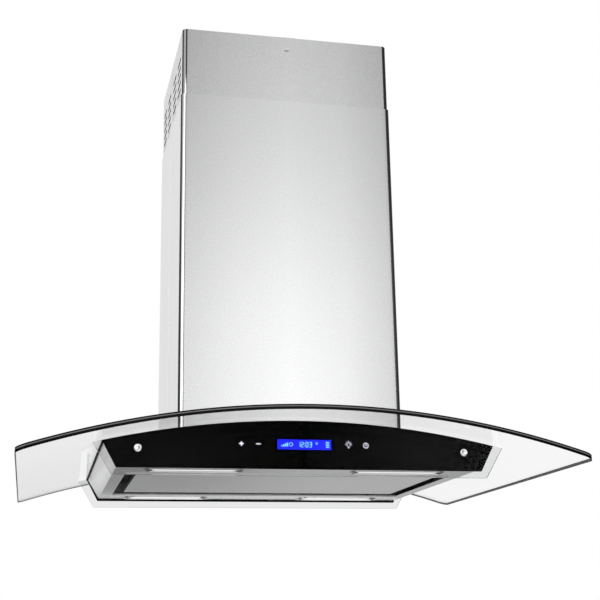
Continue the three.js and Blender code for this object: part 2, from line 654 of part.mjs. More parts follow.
function facePlates() {
  const plates = [];
  for (const [name, sy] of ends) {
    const backingNear = BODY_DEPTH / 2 + GAP;
    const plateNear = backingNear + BACKING_THICKNESS + GAP;
    const span = (near, thickness) => (sy > 0 ? [near, near + thickness] : [-near - thickness, -near]);
    const [b0, b1] = span(backingNear, BACKING_THICKNESS);
    const [p0, p1] = span(plateNear, PLATE_THICKNESS);
    const holeRadius = SHANK_DIAMETER / 2 + GAP;
    let backing = archedPlate(BACKING_BOTTOM_WIDTH, BACKING_TOP_WIDTH, bodyBottomZ - BACKING_DROP, b0, b1);
    backing = cut(backing, ...shankHoles(holeRadius, b0, b1));
    if (sy < 0) {
      const window = roundedRectangle(LCD_WIDTH + 2 * GAP, LCD_HEIGHT + 2 * GAP, LCD_WINDOW_FIT, 0,
        glassUnderZ - LCD_BELOW_GLASS);
      backing = cut(backing, prismY(window, b0 - 1, b1 + 1, 2));
    }
    const plate = archedPlate(PLATE_BOTTOM_WIDTH, PLATE_TOP_WIDTH, bodyBottomZ - PLATE_DROP, p0, p1);
    plates.push(piece(`${name}_backing`, backing, BLACK_BACKING));
    plates.push(piece(`${name}_glass`, cut(plate, ...shankHoles(holeRadius, p0, p1)), CLEAR_GLASS));
  }
  return plates;
}

// domed cap with a hex socket and a shank that clamps plate, backing and body
function plateCaps() {
  const faceY = BODY_DEPTH / 2 + GAP + BACKING_THICKNESS + GAP + PLATE_THICKNESS + GAP;
  const shankLength = faceY - BODY_DEPTH / 2 + SHANK_INSIDE_BODY;
  const radius = CAP_DIAMETER / 2;
  const edgeHeight = CAP_HEIGHT - CAP_EDGE;
  const profile = [[0, 0], [radius, 0], [radius, edgeHeight], [radius - CAP_EDGE, CAP_HEIGHT], [0, CAP_HEIGHT]];
  const head = new THREE.LatheGeometry(profile.map(([r, h]) => new THREE.Vector2(r, h)), 20);
  const shank = new THREE.CylinderGeometry(SHANK_DIAMETER / 2, SHANK_DIAMETER / 2, shankLength, 12);
  shank.translate(0, 0.5 - shankLength / 2, 0);
  const socket = new THREE.CylinderGeometry(CAP_SOCKET_RADIUS, CAP_SOCKET_RADIUS, 2 * CAP_SOCKET_DEPTH, 6);
  socket.translate(0, CAP_HEIGHT, 0);
  const cap = cut(join(toSolid(head), toSolid(shank)), toSolid(socket));
  return sides.flatMap(([nameX, sx]) => ends.map(([nameY, sy]) => {
    const mesh = piece(`plate_cap_${nameY}_${nameX}`, cap, POLISHED_CHROME);
    mesh.rotation.z = sy > 0 ? 0 : Math.PI;
    return at(mesh, (sx * CAP_SPACING) / 2, sy * faceY, glassUnderZ - CAP_BELOW_GLASS);
  }));
}

function displayParts() {
  const faceY = bodyFrontY - GAP - BACKING_THICKNESS;
  const backY = faceY + LCD_THICKNESS;
  const lcd = box([-LCD_WIDTH / 2, 0, -LCD_HEIGHT / 2], [LCD_WIDTH / 2, LCD_THICKNESS, LCD_HEIGHT / 2]);
  const boardX = BOARD_WIDTH / 2;
  const board = box([-boardX, 0, -BOARD_HEIGHT / 2], [boardX, BOARD_THICKNESS, BOARD_HEIGHT / 2]);
  const z = glassUnderZ - LCD_BELOW_GLASS;
  return [
    at(piece('lcd_module', lcd, BLUE_LCD), 0, faceY, z),
    at(piece('control_board', board, BOARD_GREEN), 0, backY + GAP, z),
  ];
}

// ---- lamps --------------------------------------------------------------------------------------
function lamps() {
  const lens = prismZ(roundedRectangle(LAMP_LENGTH, LAMP_WIDTH, LAMP_WIDTH / 2), -GAP - 0.5, LAMP_DEPTH, 2);
  const rimWidth = LAMP_WIDTH + 2 * LAMP_RIM;
  const rimShape = roundedRectangle(LAMP_LENGTH + 2 * LAMP_RIM, rimWidth, rimWidth / 2);
  const lamp = join(lens, prismZ(rimShape, -GAP - LAMP_RIM_SHEET, -GAP, 2));
  return lampPlaces().map(([name, x, y]) => at(piece(name, lamp, LAMP_LENS), x, y, bodyBottomZ));
}

// ---- perimeter panel ----------------------------------------------------------------------------
// shallow tray, its origin on the hinge axis
function perimeterPanel() {
  const rearY = -HINGE_BEHIND_PANEL;
  const frontY = rearY - panelDepth;
  const lowZ = -HINGE_RISE;
  const highZ = lowZ + PANEL_HEIGHT;
  const half = panelWidth / 2;
  let tray = cut(
    box([-half, frontY, lowZ], [half, rearY, highZ]),
    box([-half + SHEET, frontY + SHEET, lowZ + SHEET], [half - SHEET, rearY - SHEET, highZ + 1]),
  );
  for (const [, sx] of sides) {
    const x0 = (sx * HINGE_SPACING) / 2 - LUG_WIDTH / 2;
    const x1 = x0 + LUG_WIDTH;
    const eye = prismX(circle(LUG_RADIUS), x0, x1, 6);
    const arm = box([x0, rearY - SHEET, -LUG_ARM / 2], [x1, 0, LUG_ARM / 2]);
    const bore = prismX(circle(HINGE_PIN_DIAMETER / 2 + LUG_BORE_FIT), x0 - 1, x1 + 1, 6);
    tray = cut(join(tray, eye, arm), bore);
  }
  return at(piece('perimeter_panel', tray, BRUSHED_STEEL), 0, hingeY, hingeZ);
}

function hingePins() {
  const length = LUG_WIDTH + EAR_SHEET + 2 * PIN_PAST_EAR;
  const pin = new THREE.CylinderGeometry(HINGE_PIN_DIAMETER / 2, HINGE_PIN_DIAMETER / 2, length, 12);
  pin.rotateZ(Math.PI / 2);
  const middle = HINGE_SPACING / 2 + EAR_SHEET / 2;
  return sides.map(([name, sx]) => at(piece(`panel_hinge_pin_${name}`, toSolid(pin), ZINC_STEEL),
    sx * middle, hingeY, hingeZ));
}

// spring catches on the front flange, reaching to the panel's front edge
function panelCatches() {
  const reach = PANEL_MARGIN - 2 * GAP;
  const foot = box([-CATCH_WIDTH / 2, -CATCH_FOOT, 0], [CATCH_WIDTH / 2, 1, CATCH_FOOT_HEIGHT]);
  const nose = box([-CATCH_NOSE_WIDTH / 2, 0, 0], [CATCH_NOSE_WIDTH / 2, reach, CATCH_NOSE_HEIGHT]);
  return sides.map(([name, sx]) => at(piece(`panel_catch_${name}`, join(foot, nose), BLACK_PLASTIC),
    (sx * CATCH_SPACING) / 2, -intakeDepth / 2, bodyBottomZ + SHEET + GAP));
}

// ---- grease filters -----------------------------------------------------------------------------
function filterFrame() {
  const low = filterUnderZ + FILTER_THICKNESS + GAP;
  const high = low + SHEET;
  const width = BODY_BOTTOM_WIDTH - 2 * FRAME_TO_BODY;
  const depth = BODY_DEPTH - 2 * (SHEET + FRAME_TO_BODY);
  const ring = prismZ(roundedRectangle(width, depth, FRAME_TO_BODY), low, high, 2);
  const holeWidth = FILTER_WIDTH - 2 * FILTER_LIP;
  const holeDepth = FILTER_DEPTH - 2 * FILTER_LIP;
  const holes = sides.map(([, sx]) => prismZ(
    roundedRectangle(holeWidth, holeDepth, FRAME_TO_BODY, sx * filterX, 0), low - 1, high + 1, 2));
  const notchX = BOARD_WIDTH / 2 + FRAME_NOTCH_FIT;
  const notchY = bodyFrontY + LCD_THICKNESS + BOARD_THICKNESS + FRAME_NOTCH_FIT;
  const notch = box([-notchX, -BODY_DEPTH, low - 1], [notchX, notchY, high + 1]);
  return piece('filter_frame', cut(ring, ...holes, notch), ZINC_STEEL);
}

const latchY = -FILTER_DEPTH / 2 + LATCH_FROM_EDGE;
const latchPocket = LATCH_DEPTH + LATCH_TRAVEL + 2 * LATCH_FIT;

function filterCassette() {
  const halfX = FILTER_WIDTH / 2;
  const halfY = FILTER_DEPTH / 2;
  const pitch = (FILTER_WIDTH - 2 * FILTER_RIM) / BAFFLE_SLOTS;
  const slots = [];
  for (let i = 0; i < BAFFLE_SLOTS; i += 1) {
    const x = -halfX + FILTER_RIM + (i + 0.5) * pitch;
    slots.push(box([x - BAFFLE_SLOT_WIDTH / 2, latchY + latchPocket + FILTER_RIM / 2, -1],
      [x + BAFFLE_SLOT_WIDTH / 2, halfY - FILTER_RIM, FILTER_THICKNESS + 1]));
  }
  const pocketX = LATCH_WIDTH / 2 + LATCH_FIT;
  const pocket = box([-pocketX, latchY, -1], [pocketX, latchY + latchPocket, LATCH_THICKNESS + 2 * LATCH_FIT]);
  return cut(box([-halfX, -halfY, 0], [halfX, halfY, FILTER_THICKNESS]), ...slots, pocket);
}

// sliding plate in the filter's pocket, with a finger grip below it
function filterLatch() {
  const halfX = LATCH_WIDTH / 2;
  const gripX = halfX - GRIP_INSET;
  const gripY = (LATCH_DEPTH - GRIP_THICKNESS) / 2;
  const slide = box([-halfX, 0, LATCH_FIT], [halfX, LATCH_DEPTH, LATCH_FIT + LATCH_THICKNESS]);
  return join(slide, box([-gripX, gripY, -GRIP_DROP], [gripX, gripY + GRIP_THICKNESS, 1]));
}

function greaseFilters() {
  return sides.flatMap(([name, sx]) => {
    const filter = piece(`grease_filter_${name}`, filterCassette(), ALUMINIUM);
    const latch = piece(`filter_latch_${name}`, filterLatch(), BLACK_PLASTIC);
    return [at(filter, sx * filterX, 0, filterUnderZ), at(latch, sx * filterX, latchY + LATCH_FIT, filterUnderZ)];
  });
}

// ---- motor box ----------------------------------------------------------------------------------
function motorBox() {
  const halfX = BOX_WIDTH / 2;
  const halfY = BOX_DEPTH / 2;
  const insideX = halfX - BOX_SHEET;
  const insideY = halfY - BOX_SHEET;
  const insideTopZ = boxTopZ - BOX_SHEET;
  const low = archZ(halfX, ARCH_RADIUS) - 5;
  const footZ = baseTopZ + GAP;
  const footShape = roundedRectangle(BOX_WIDTH + 2 * BOX_FOOT, BOX_DEPTH + 2 * BOX_FOOT, 5);
  const foot = prismZ(footShape, footZ, footZ + BOX_SHEET, 3);
  const walls = box([-halfX, -halfY, low], [halfX, halfY, boxTopZ]);
  const shell = cut(
    join(walls, foot),
    box([-insideX, -insideY, low - 1], [insideX, insideY, insideTopZ]),
    prismZ(circle(COLLAR_DIAMETER / 2 - COLLAR_WALL, 0, outletY), insideTopZ - 1, boxTopZ + 1, 16),
    underArch(ARCH_RADIUS, BOX_WIDTH, -BOX_DEPTH, BOX_DEPTH),
  );
  return piece('motor_box', shell, ZINC_STEEL);
}

// supply box on the motor box's left side, with a gland for the cable that comes down from the ceiling
function supplyParts() {
  const half = SUPPLY_WIDTH / 2;
  const x = -BOX_WIDTH / 2 - GAP - SUPPLY_DEPTH;
  const z = boxTopZ - SUPPLY_DROP;
  const casing = box([0, -half, 0], [SUPPLY_DEPTH, half, SUPPLY_HEIGHT]);
  const gland = [[0, 0], [8, 0], [8, 5], [6, 6], [6, 12], [3.5, 12], [3.5, 3], [0, 3]]; // radius and height
  const lathe = new THREE.LatheGeometry(gland.map(([r, h]) => new THREE.Vector2(r, h)), 16);
  lathe.rotateX(Math.PI / 2);
  return [
    at(piece('supply_box', casing, BLACK_PLASTIC), x, 0, z),
    at(piece('cable_gland', toSolid(lathe), GREY_PLASTIC), x + SUPPLY_DEPTH / 2, -GLAND_FORWARD,
      z + SUPPLY_HEIGHT + GAP),
  ];
}

// ---- blower -------------------------------------------------------------------------------------
// spiral outline in y and z round the fan's axis, opening upwards at the rear
function scrollOutline(offset, topZ) {
  const steps = 26;
  const sweep = THREE.MathUtils.degToRad(offset > 0 ? 282 : 285);
  const points = [[SCROLL_LARGE_RADIUS + offset, topZ]];
  for (let i = 0; i <= steps; i += 1) {
    const share = i / steps;
    const radius = THREE.MathUtils.lerp(SCROLL_LARGE_RADIUS, SCROLL_SMALL_RADIUS, share) + offset;
    const angle = -sweep * share;
    points.push([radius * Math.cos(angle), radius * Math.sin(angle)]);
  }
  points.push([scrollLip - offset, topZ]);
  return outline(points);
}

function blowerScroll() {
  const half = SCROLL_WIDTH / 2;
  const topZ = SCROLL_AXIS_DROP - BOX_SHEET - GAP;
  const scroll = cut(
    prismX(scrollOutline(SCROLL_WALL, topZ), -half, half),
    prismX(scrollOutline(0, topZ + 1), -half + SCROLL_WALL, half - SCROLL_WALL),
    prismX(circle(INLET_RADIUS), -half - 1, half + 1, 14),
  );
  return piece('blower_scroll', scroll, GREY_PLASTIC);
}

function impeller() {
  const radius = IMPELLER_DIAMETER / 2;
  const half = IMPELLER_WIDTH / 2;
  const bladeMiddle = radius - (BLADE_DEPTH - 1) / 2;
  const ring = (x) => cut(prismX(circle(radius), x, x + IMPELLER_RING, 12),
    prismX(circle(radius - BLADE_DEPTH + 2), x - 1, x + IMPELLER_RING + 1, 12));
  const hub = prismX(circle(HUB_RADIUS), -HUB_BACK, HUB_FRONT, 6);
  const disc = prismX(circle(radius - 1), -IMPELLER_RING / 2, IMPELLER_RING / 2, 12);
  const blades = [];
  for (let i = 0; i < BLADE_COUNT; i += 1) {
    const blade = new THREE.BoxGeometry(IMPELLER_WIDTH - 1, BLADE_DEPTH - 3, BLADE_SHEET);
    blade.rotateX(BLADE_TILT);
    blade.translate(0, bladeMiddle, 0);
    blade.rotateX((2 * Math.PI * i) / BLADE_COUNT);
    blades.push(toSolid(blade));
  }
  const wheel = join(hub, disc, ring(-half), ring(half - IMPELLER_RING), ...blades);
  const bore = prismX(circle(SHAFT_DIAMETER / 2 + SHAFT_FIT), -HUB_BACK - 1, HUB_FRONT + 1, 6);
  return piece('impeller', cut(wheel, bore), BLACK_PLASTIC);
}

// motor inside the impeller's open end, held by a three-armed bracket on the scroll's wall
function motorParts() {
  const bracketX = -SCROLL_WIDTH / 2 - GAP;
  const armLength = INLET_RADIUS + BRACKET_OVERLAP;
  const motor = prismX(circle(MOTOR_DIAMETER / 2), bracketX + GAP, MOTOR_END, 12);
  const shaft = prismX(circle(SHAFT_DIAMETER / 2), MOTOR_END + GAP, SHAFT_END, 6);
  const arms = [0, 1, 2].map((i) => {
    const arm = new THREE.BoxGeometry(BRACKET_SHEET, BRACKET_ARM, armLength);
    arm.translate(bracketX - BRACKET_SHEET / 2, 0, armLength / 2);
    arm.rotateX((2 * Math.PI * i) / 3);
    return toSolid(arm);
  });
  const bracket = join(prismX(circle(BRACKET_RADIUS), bracketX - BRACKET_SHEET, bracketX, 8), ...arms);
  return [
    piece('fan_motor', motor, ZINC_STEEL),
    piece('motor_shaft', shaft, POLISHED_CHROME),
    piece('motor_bracket', bracket, ZINC_STEEL),
  ];
}

function blower() {
  const group = new THREE.Group();
  group.add(blowerScroll(), impeller(), ...motorParts());
  group.position.set(0, -SCROLL_AXIS_FORWARD, scrollAxisZ);
  return group;
}

// ---- outlet collar and flaps --------------------------------------------------------------------
function collarRing() {
  const outer = COLLAR_DIAMETER / 2;
  const inner = outer - COLLAR_WALL;
  const profile = [
    [inner, 0], [outer + COLLAR_FLANGE, 0], [outer + COLLAR_FLANGE, COLLAR_FLANGE_SHEET],
    [outer, COLLAR_FLANGE_SHEET], [outer, COLLAR_HEIGHT], [inner, COLLAR_HEIGHT], [inner, 0],
  ];
  const ring = new THREE.LatheGeometry(profile.map(([r, h]) => new THREE.Vector2(r, h)), 28);
  ring.rotateX(Math.PI / 2);
  const pinHole = prismX(circle(FLAP_PIN_DIAMETER / 2 + GAP, 0, FLAP_RISE), -outer - 1, outer + 1, 6);
  return piece('outlet_collar', cut(toSolid(ring), pinHole), GREY_PLASTIC);
}

// half disc with a knuckle round the pin, its origin on the pin
function flap(name, sy) {
  const radius = COLLAR_DIAMETER / 2 - COLLAR_WALL - FLAP_FIT;
  const clearOfPin = KNUCKLE_RADIUS + 0.6;
  const low = -FLAP_SHEET / 2;
  const high = FLAP_SHEET / 2;
  const kept = box([-radius, clearOfPin, low], [radius, radius, high]);
  const leaf = prismZ(circle(radius), low, high, 16).intersect(kept);
  const knuckleEnd = radius - KNUCKLE_FROM_RIM;
  const web = box([KNUCKLE_FROM_MIDDLE, 0, low], [knuckleEnd, clearOfPin + 2, high]);
  const knuckle = prismX(circle(KNUCKLE_RADIUS), KNUCKLE_FROM_MIDDLE, knuckleEnd, 6);
  const bore = prismX(circle(FLAP_PIN_DIAMETER / 2 + GAP), 0, radius, 6);
  const mesh = piece(name, cut(join(leaf, web, knuckle), bore), BLACK_PLASTIC);
  mesh.rotation.z = sy > 0 ? 0 : Math.PI;
  return mesh;
}

function outlet() {
  const group = new THREE.Group();
  const pin = prismX(circle(FLAP_PIN_DIAMETER / 2), -COLLAR_DIAMETER / 2 - 1, COLLAR_DIAMETER / 2 + 1, 6);
  const flaps = ends.map(([name, sy]) => at(flap(`damper_flap_${name}`, sy), 0, 0, FLAP_RISE));
  group.add(collarRing(), ...flaps, at(piece('damper_pin', pin, ZINC_STEEL), 0, 0, FLAP_RISE));
  group.position.set(0, outletY, boxTopZ + GAP);
  return group;
}

// ---- the hood -----------------------------------------------------------------------------------
const ceilingAssembly = new THREE.Group();
ceilingAssembly.add(ceilingPlate(), ...upperLegs(), ...legScrews(), ...upperCovers(), ...coverScrews());

const hoodAssembly = new THREE.Group();
hoodAssembly.add(baseFrame(), ...lowerLegs(), motorBox(), ...supplyParts(), blower(), outlet());
hoodAssembly.add(canopyGlass(), bodyShell(), ...bodySeals(), ...facePlates(), ...plateCaps());
hoodAssembly.add(...displayParts(), ...lamps(), filterFrame(), ...greaseFilters());
hoodAssembly.add(perimeterPanel(), ...hingePins(), ...panelCatches());
hoodAssembly.add(...lowerCovers());

const group = new THREE.Group();
group.add(ceilingAssembly, hoodAssembly);

export default group;
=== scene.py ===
import math

import bmesh
import bpy
from mathutils import Matrix, Vector


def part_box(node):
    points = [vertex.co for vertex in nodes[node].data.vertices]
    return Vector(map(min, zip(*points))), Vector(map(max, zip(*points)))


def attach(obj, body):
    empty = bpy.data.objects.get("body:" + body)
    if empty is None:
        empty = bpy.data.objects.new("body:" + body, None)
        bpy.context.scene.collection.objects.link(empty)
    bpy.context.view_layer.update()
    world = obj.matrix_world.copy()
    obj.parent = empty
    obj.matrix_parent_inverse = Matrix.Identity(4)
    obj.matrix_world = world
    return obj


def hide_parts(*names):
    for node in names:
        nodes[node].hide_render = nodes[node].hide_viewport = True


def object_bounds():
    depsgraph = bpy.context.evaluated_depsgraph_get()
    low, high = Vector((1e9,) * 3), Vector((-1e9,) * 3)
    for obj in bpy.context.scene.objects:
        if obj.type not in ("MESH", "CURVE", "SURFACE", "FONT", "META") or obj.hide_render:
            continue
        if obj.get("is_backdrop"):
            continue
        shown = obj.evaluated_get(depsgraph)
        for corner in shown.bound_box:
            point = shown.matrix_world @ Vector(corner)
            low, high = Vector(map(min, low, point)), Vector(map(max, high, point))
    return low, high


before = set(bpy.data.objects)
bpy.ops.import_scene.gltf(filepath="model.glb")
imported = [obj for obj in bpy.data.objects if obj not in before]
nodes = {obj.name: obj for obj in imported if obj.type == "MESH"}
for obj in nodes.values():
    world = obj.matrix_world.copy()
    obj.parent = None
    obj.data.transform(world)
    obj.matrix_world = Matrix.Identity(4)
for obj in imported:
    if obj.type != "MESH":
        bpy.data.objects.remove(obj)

cad_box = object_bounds()
MM = 0.001

# ---- Studio ------------------------------------------------------------------------------------
# The hood hangs in a white studio over a pale floor. One broad soft light stands in front and to
# the left. The steel mirrors white surroundings that fade above and below, with black flags at the
# sides, and the glass and the lens see plain white.
FLOOR_Z = -1.9
FLOOR_SIZE = 4.0
CAMERA_PLACE = (-0.4231, -2.0972, -1.0508)
CAMERA_YAW = math.radians(12.816)
CAMERA_PITCH = math.radians(15.446)
CAMERA_ROLL = math.radians(-1.0)
CAMERA_LENS = 71.19
CAMERA_SENSOR = 36.0
KEY_LIGHT_PLACE = (-1.6, -2.6, 0.4)
KEY_LIGHT_TARGET = (0, 0, -0.5)
KEY_LIGHT_SIZE = (1.6, 1.6)
KEY_LIGHT_POWER = 14.0

# The surroundings: a level in front and one behind, then pairs of place and brightness, from straight
# down to straight up for the heights and from left to right for the flags.
FRONT_LEVEL = 1.78
BACK_LEVEL = 1.22
FRONT_BY_HEIGHT = [
    (0.0, 0.45), (0.45, 0.6), (0.52, 0.95), (0.59, 1.0), (0.635, 0.95), (0.69, 0.5), (0.73, 0.38),
    (1.0, 0.3)]
FRONT_FLAGS = [
    (0.03, 0.05), (0.06, 0.9), (0.21, 0.95), (0.25, 0.08), (0.47, 0.1), (0.54, 1.0), (0.64, 1.0),
    (0.71, 0.1), (1.0, 0.01)]
BACK_BY_HEIGHT = [
    (0.0, 0.36), (0.42, 0.42), (0.475, 0.52), (0.5, 0.8), (0.57, 0.95), (0.7, 0.95), (1.0, 0.6)]
BACK_FLAGS = [
    (0.02, 0.04), (0.27, 0.05), (0.34, 1.0), (0.48, 1.0), (0.53, 0.58), (0.56, 0.6), (0.61, 1.0),
    (0.7, 1.0), (0.8, 0.12), (1.0, 0.05)]
OPERATIONS = {"+": "ADD", "-": "SUBTRACT", "*": "MULTIPLY", "/": "DIVIDE"}


class Wire:
    """One output of a node; arithmetic on it adds Math nodes."""

    def __init__(self, finish, socket):
        self.finish = finish
        self.socket = socket

    def combine(self, symbol, first, second):
        return self.finish.node("Math", {"operation": OPERATIONS[symbol]}, {0: first, 1: second})

    def __add__(self, other):
        return self.combine("+", self, other)

    def __radd__(self, other):
        return self.combine("+", other, self)

    def __sub__(self, other):
        return self.combine("-", self, other)

    def __rsub__(self, other):
        return self.combine("-", other, self)

    def __mul__(self, other):
        return self.combine("*", self, other)

    def __rmul__(self, other):
        return self.combine("*", other, self)

    def __truediv__(self, other):
        return self.combine("/", self, other)


class Finish:
    """A material or a world, with its nodes made by name and its shader's sockets set by name."""

    def __init__(self, owner, shader="ShaderNodeBsdfPrincipled"):
        owner.use_nodes = True
        self.owner = owner
        self.tree = owner.node_tree
        self.tree.nodes.clear()
        self.shader = self.tree.nodes.new(shader)
        surface = "World" if isinstance(owner, bpy.types.World) else "Material"
        self.output = self.tree.nodes.new(f"ShaderNodeOutput{surface}")
        self.tree.links.new(self.shader.outputs[0], self.output.inputs[0])

    def feed(self, node, name, value):
        socket = node.inputs[name]
        if isinstance(value, Wire):
            self.tree.links.new(value.socket, socket)
        elif socket.type == "RGBA" and len(value) == 3:
            socket.default_value = (*value, 1.0)
        else:
            socket.default_value = value

    def node(self, kind, settings=None, inputs=None, output=0):
        made = self.tree.nodes.new(f"ShaderNode{kind}")
        for name, value in (settings or {}).items():
            if name == "stops":
                self.set_stops(made.color_ramp, value)
            else:
                setattr(made, name, value)
        for name, value in (inputs or {}).items():
            self.feed(made, name, value)
        return Wire(self, made.outputs[output])

    @staticmethod
    def set_stops(ramp, stops):
        while len(ramp.elements) < len(stops):
            ramp.elements.new(1.0)
        for element, (place, level) in zip(ramp.elements, stops):
            element.position = place
            element.color = (*level, 1.0) if isinstance(level, tuple) else (level, level, level, 1.0)

    def set(self, **inputs):
        for name, value in inputs.items():
            self.feed(self.shader, name.replace("_", " "), value)
        return self

    def place(self):
        return self.node("TexCoord", output="Object")

    def axis(self, vector, letter):
        return self.node("SeparateXYZ", inputs={0: vector}, output=letter)

    def larger(self, first, second):
        return self.node("Math", {"operation": "MAXIMUM"}, {0: first, 1: second})

    def stretched(self, scale):
        return self.node("Mapping", inputs={"Vector": self.place(), "Scale": scale})

    def noise(self, scale, stretch=(1, 1, 1), detail=4.0):
        """A noise from 0 to 1; a small stretch along an axis draws it out into grain along that axis."""
        vector = self.stretched(stretch)
        return self.node("TexNoise", inputs={"Vector": vector, "Scale": scale, "Detail": detail})

    def ramp(self, wire, stops):
        return self.node("ValToRGB", {"stops": stops}, {"Fac": wire})

    def bump(self, height, strength, distance):
        return self.node("Bump", inputs={"Height": height, "Strength": strength, "Distance": distance})


def new_finish(name):
    return Finish(bpy.data.materials.new(name))


def set_world():
    """Surroundings for reflections: by height in front and behind, darkened by flags on both sides."""
    world = Finish(bpy.data.worlds.new("studio"), "ShaderNodeBackground")
    bpy.context.scene.world = world.owner
    direction = world.node("TexCoord", output="Generated")
    east, north, height = (world.axis(direction, letter) * 0.5 + 0.5 for letter in "XYZ")
    front = world.ramp(height, FRONT_BY_HEIGHT)
    front_flags = world.ramp(east, FRONT_FLAGS)
    back = world.ramp(height, BACK_BY_HEIGHT)
    back_flags = world.ramp(east, BACK_FLAGS)
    half = world.ramp(north, [(0.4, 0.0), (0.6, 1.0)])
    in_front = front * front_flags * (1.0 - half) * FRONT_LEVEL
    behind = back * back_flags * half * BACK_LEVEL
    level = in_front + behind
    camera = world.node("LightPath", output="Is Camera Ray")
    through = world.node("LightPath", output="Is Transmission Ray")
    seen = world.larger(camera, through)
    shown = level * (1.0 - seen) + seen
    world.set(Color=world.node("CombineXYZ", inputs={0: shown, 1: shown, 2: shown}), Strength=1.0)


def add_softbox(name, place, target, size, power):
    lamp = bpy.data.lights.new(name, "AREA")
    lamp.shape = "RECTANGLE"
    lamp.size = size[0]
    lamp.size_y = size[1]
    lamp.energy = power
    box = bpy.data.objects.new(name, lamp)
    box.location = place
    box.rotation_euler = (Vector(target) - Vector(place)).to_track_quat("-Z", "Y").to_euler()
    bpy.context.scene.collection.objects.link(box)


def set_camera():
    lens = bpy.data.cameras.new("camera")
    lens.sensor_width = CAMERA_SENSOR
    lens.lens = CAMERA_LENS
    camera = bpy.data.objects.new("camera", lens)
    turn = Matrix.Rotation(-CAMERA_YAW, 4, "Z")
    tilt = Matrix.Rotation(math.pi / 2 + CAMERA_PITCH, 4, "X")
    roll = Matrix.Rotation(CAMERA_ROLL, 4, "Z")
    camera.matrix_world = Matrix.Translation(CAMERA_PLACE) @ turn @ tilt @ roll
    bpy.context.scene.collection.objects.link(camera)
    bpy.context.scene.camera = camera


def make_object(name, bm):
    """A finished bmesh as an object at the origin."""
    mesh = bpy.data.meshes.new(name)
    bm.to_mesh(mesh)
    bm.free()
    piece = bpy.data.objects.new(name, mesh)
    bpy.context.scene.collection.objects.link(piece)
    return piece


def add_modifier(piece, kind, **settings):
    modifier = piece.modifiers.new(kind.lower(), kind)
    for name, value in settings.items():
        setattr(modifier, name, value)
    return modifier


def settle(piece):
    """Writes a piece's modifiers into its mesh."""
    graph = bpy.context.evaluated_depsgraph_get()
    mesh = bpy.data.meshes.new_from_object(piece.evaluated_get(graph))
    piece.modifiers.clear()
    piece.data = mesh
    return piece


def smooth(piece, angle=35):
    """Shades round faces smooth and keeps broad faces flat up to their rounded edges."""
    piece.data.shade_smooth()
    piece.data.set_sharp_from_angle(angle=math.radians(angle))
    add_modifier(piece, "WEIGHTED_NORMAL", keep_sharp=True)
    return settle(piece)


def add_floor():
    bm = bmesh.new()
    bmesh.ops.create_grid(bm, x_segments=1, y_segments=1, size=FLOOR_SIZE / 2,
                          matrix=Matrix.Translation((0, 0, FLOOR_Z)))
    floor = make_object("floor", bm)
    pale = new_finish("pale floor")
    speck = pale.noise(40.0)
    pale.set(Base_Color=pale.ramp(speck, [(0.0, 0.78), (1.0, 0.82)]), Roughness=0.6)
    floor.data.materials.append(pale.owner)
    floor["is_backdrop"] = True


bpy.context.scene.view_settings.view_transform = "Standard"
set_world()
set_camera()
add_floor()
add_softbox("key light", KEY_LIGHT_PLACE, KEY_LIGHT_TARGET, KEY_LIGHT_SIZE, KEY_LIGHT_POWER)

# ---- Chimney covers ----------------------------------------------------------------------------
# Four folded sheets of brushed stainless steel, 1 mm thick. A front and a rear half meet in a seam
# down each side; the upper pair hangs from the ceiling plate and the lower pair stands on the glass.
COVER_SHEET = 1.0 * MM
FOLD_RADIUS = 9.0 * MM
SEAM_GAP = 1.2 * MM
VENT_ROWS = 6
VENT_COLUMNS = (-112, -43, 43, 112)
VENT_LENGTH = 46 * MM
VENT_HEIGHT = 6.5 * MM
VENT_PITCH = 15.2 * MM
VENT_FIRST = 46.5 * MM
VENT_CUT = 12 * MM
SCREW_HOLE_DROP = 24 * MM
SCREW_HOLE = (10 * MM, 7 * MM, 12 * MM)
LOWER_EDGE = 0.25 * MM
UPPER_EDGE = 0.2 * MM
GAP_TO_GLASS = 0.4 * MM
FOLD_SEGMENTS = 6
ROUND_END = 0.4999
NEAR = 1e-6
GLASS_LOW, GLASS_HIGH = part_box("canopy_glass")
GLASS_THICKNESS = 8 * MM
ARCH_RADIUS = 1450 * MM
ARCH_MIDDLE_Z = GLASS_HIGH.z - GLASS_THICKNESS - ARCH_RADIUS
STEP = 16 * MM
BRUSH_LINES = 900.0
BRUSH_SPECKLE = 430.0
BRUSH_CLOUD = 3.0
FOLD_POLISH = 1.4
# Painted shade across a sheet's width, from its left end to its right: 1 leaves the colour as it is, 0
# darkens it fully; darkest just inside the folds.
PAINTED_SHADE_ACROSS = [(0.108, 1.0), (0.122, 0.0), (0.32, 0.6), (0.5, 1.0), (0.7, 0.8), (0.878, 0.15), (0.892, 1.0)]


def arch_height(x, above=0.0):
    """Height of the glass's underside, or of a surface a given distance above it."""
    radius = ARCH_RADIUS + above
    return ARCH_MIDDLE_Z + math.sqrt(radius * radius - x * x)


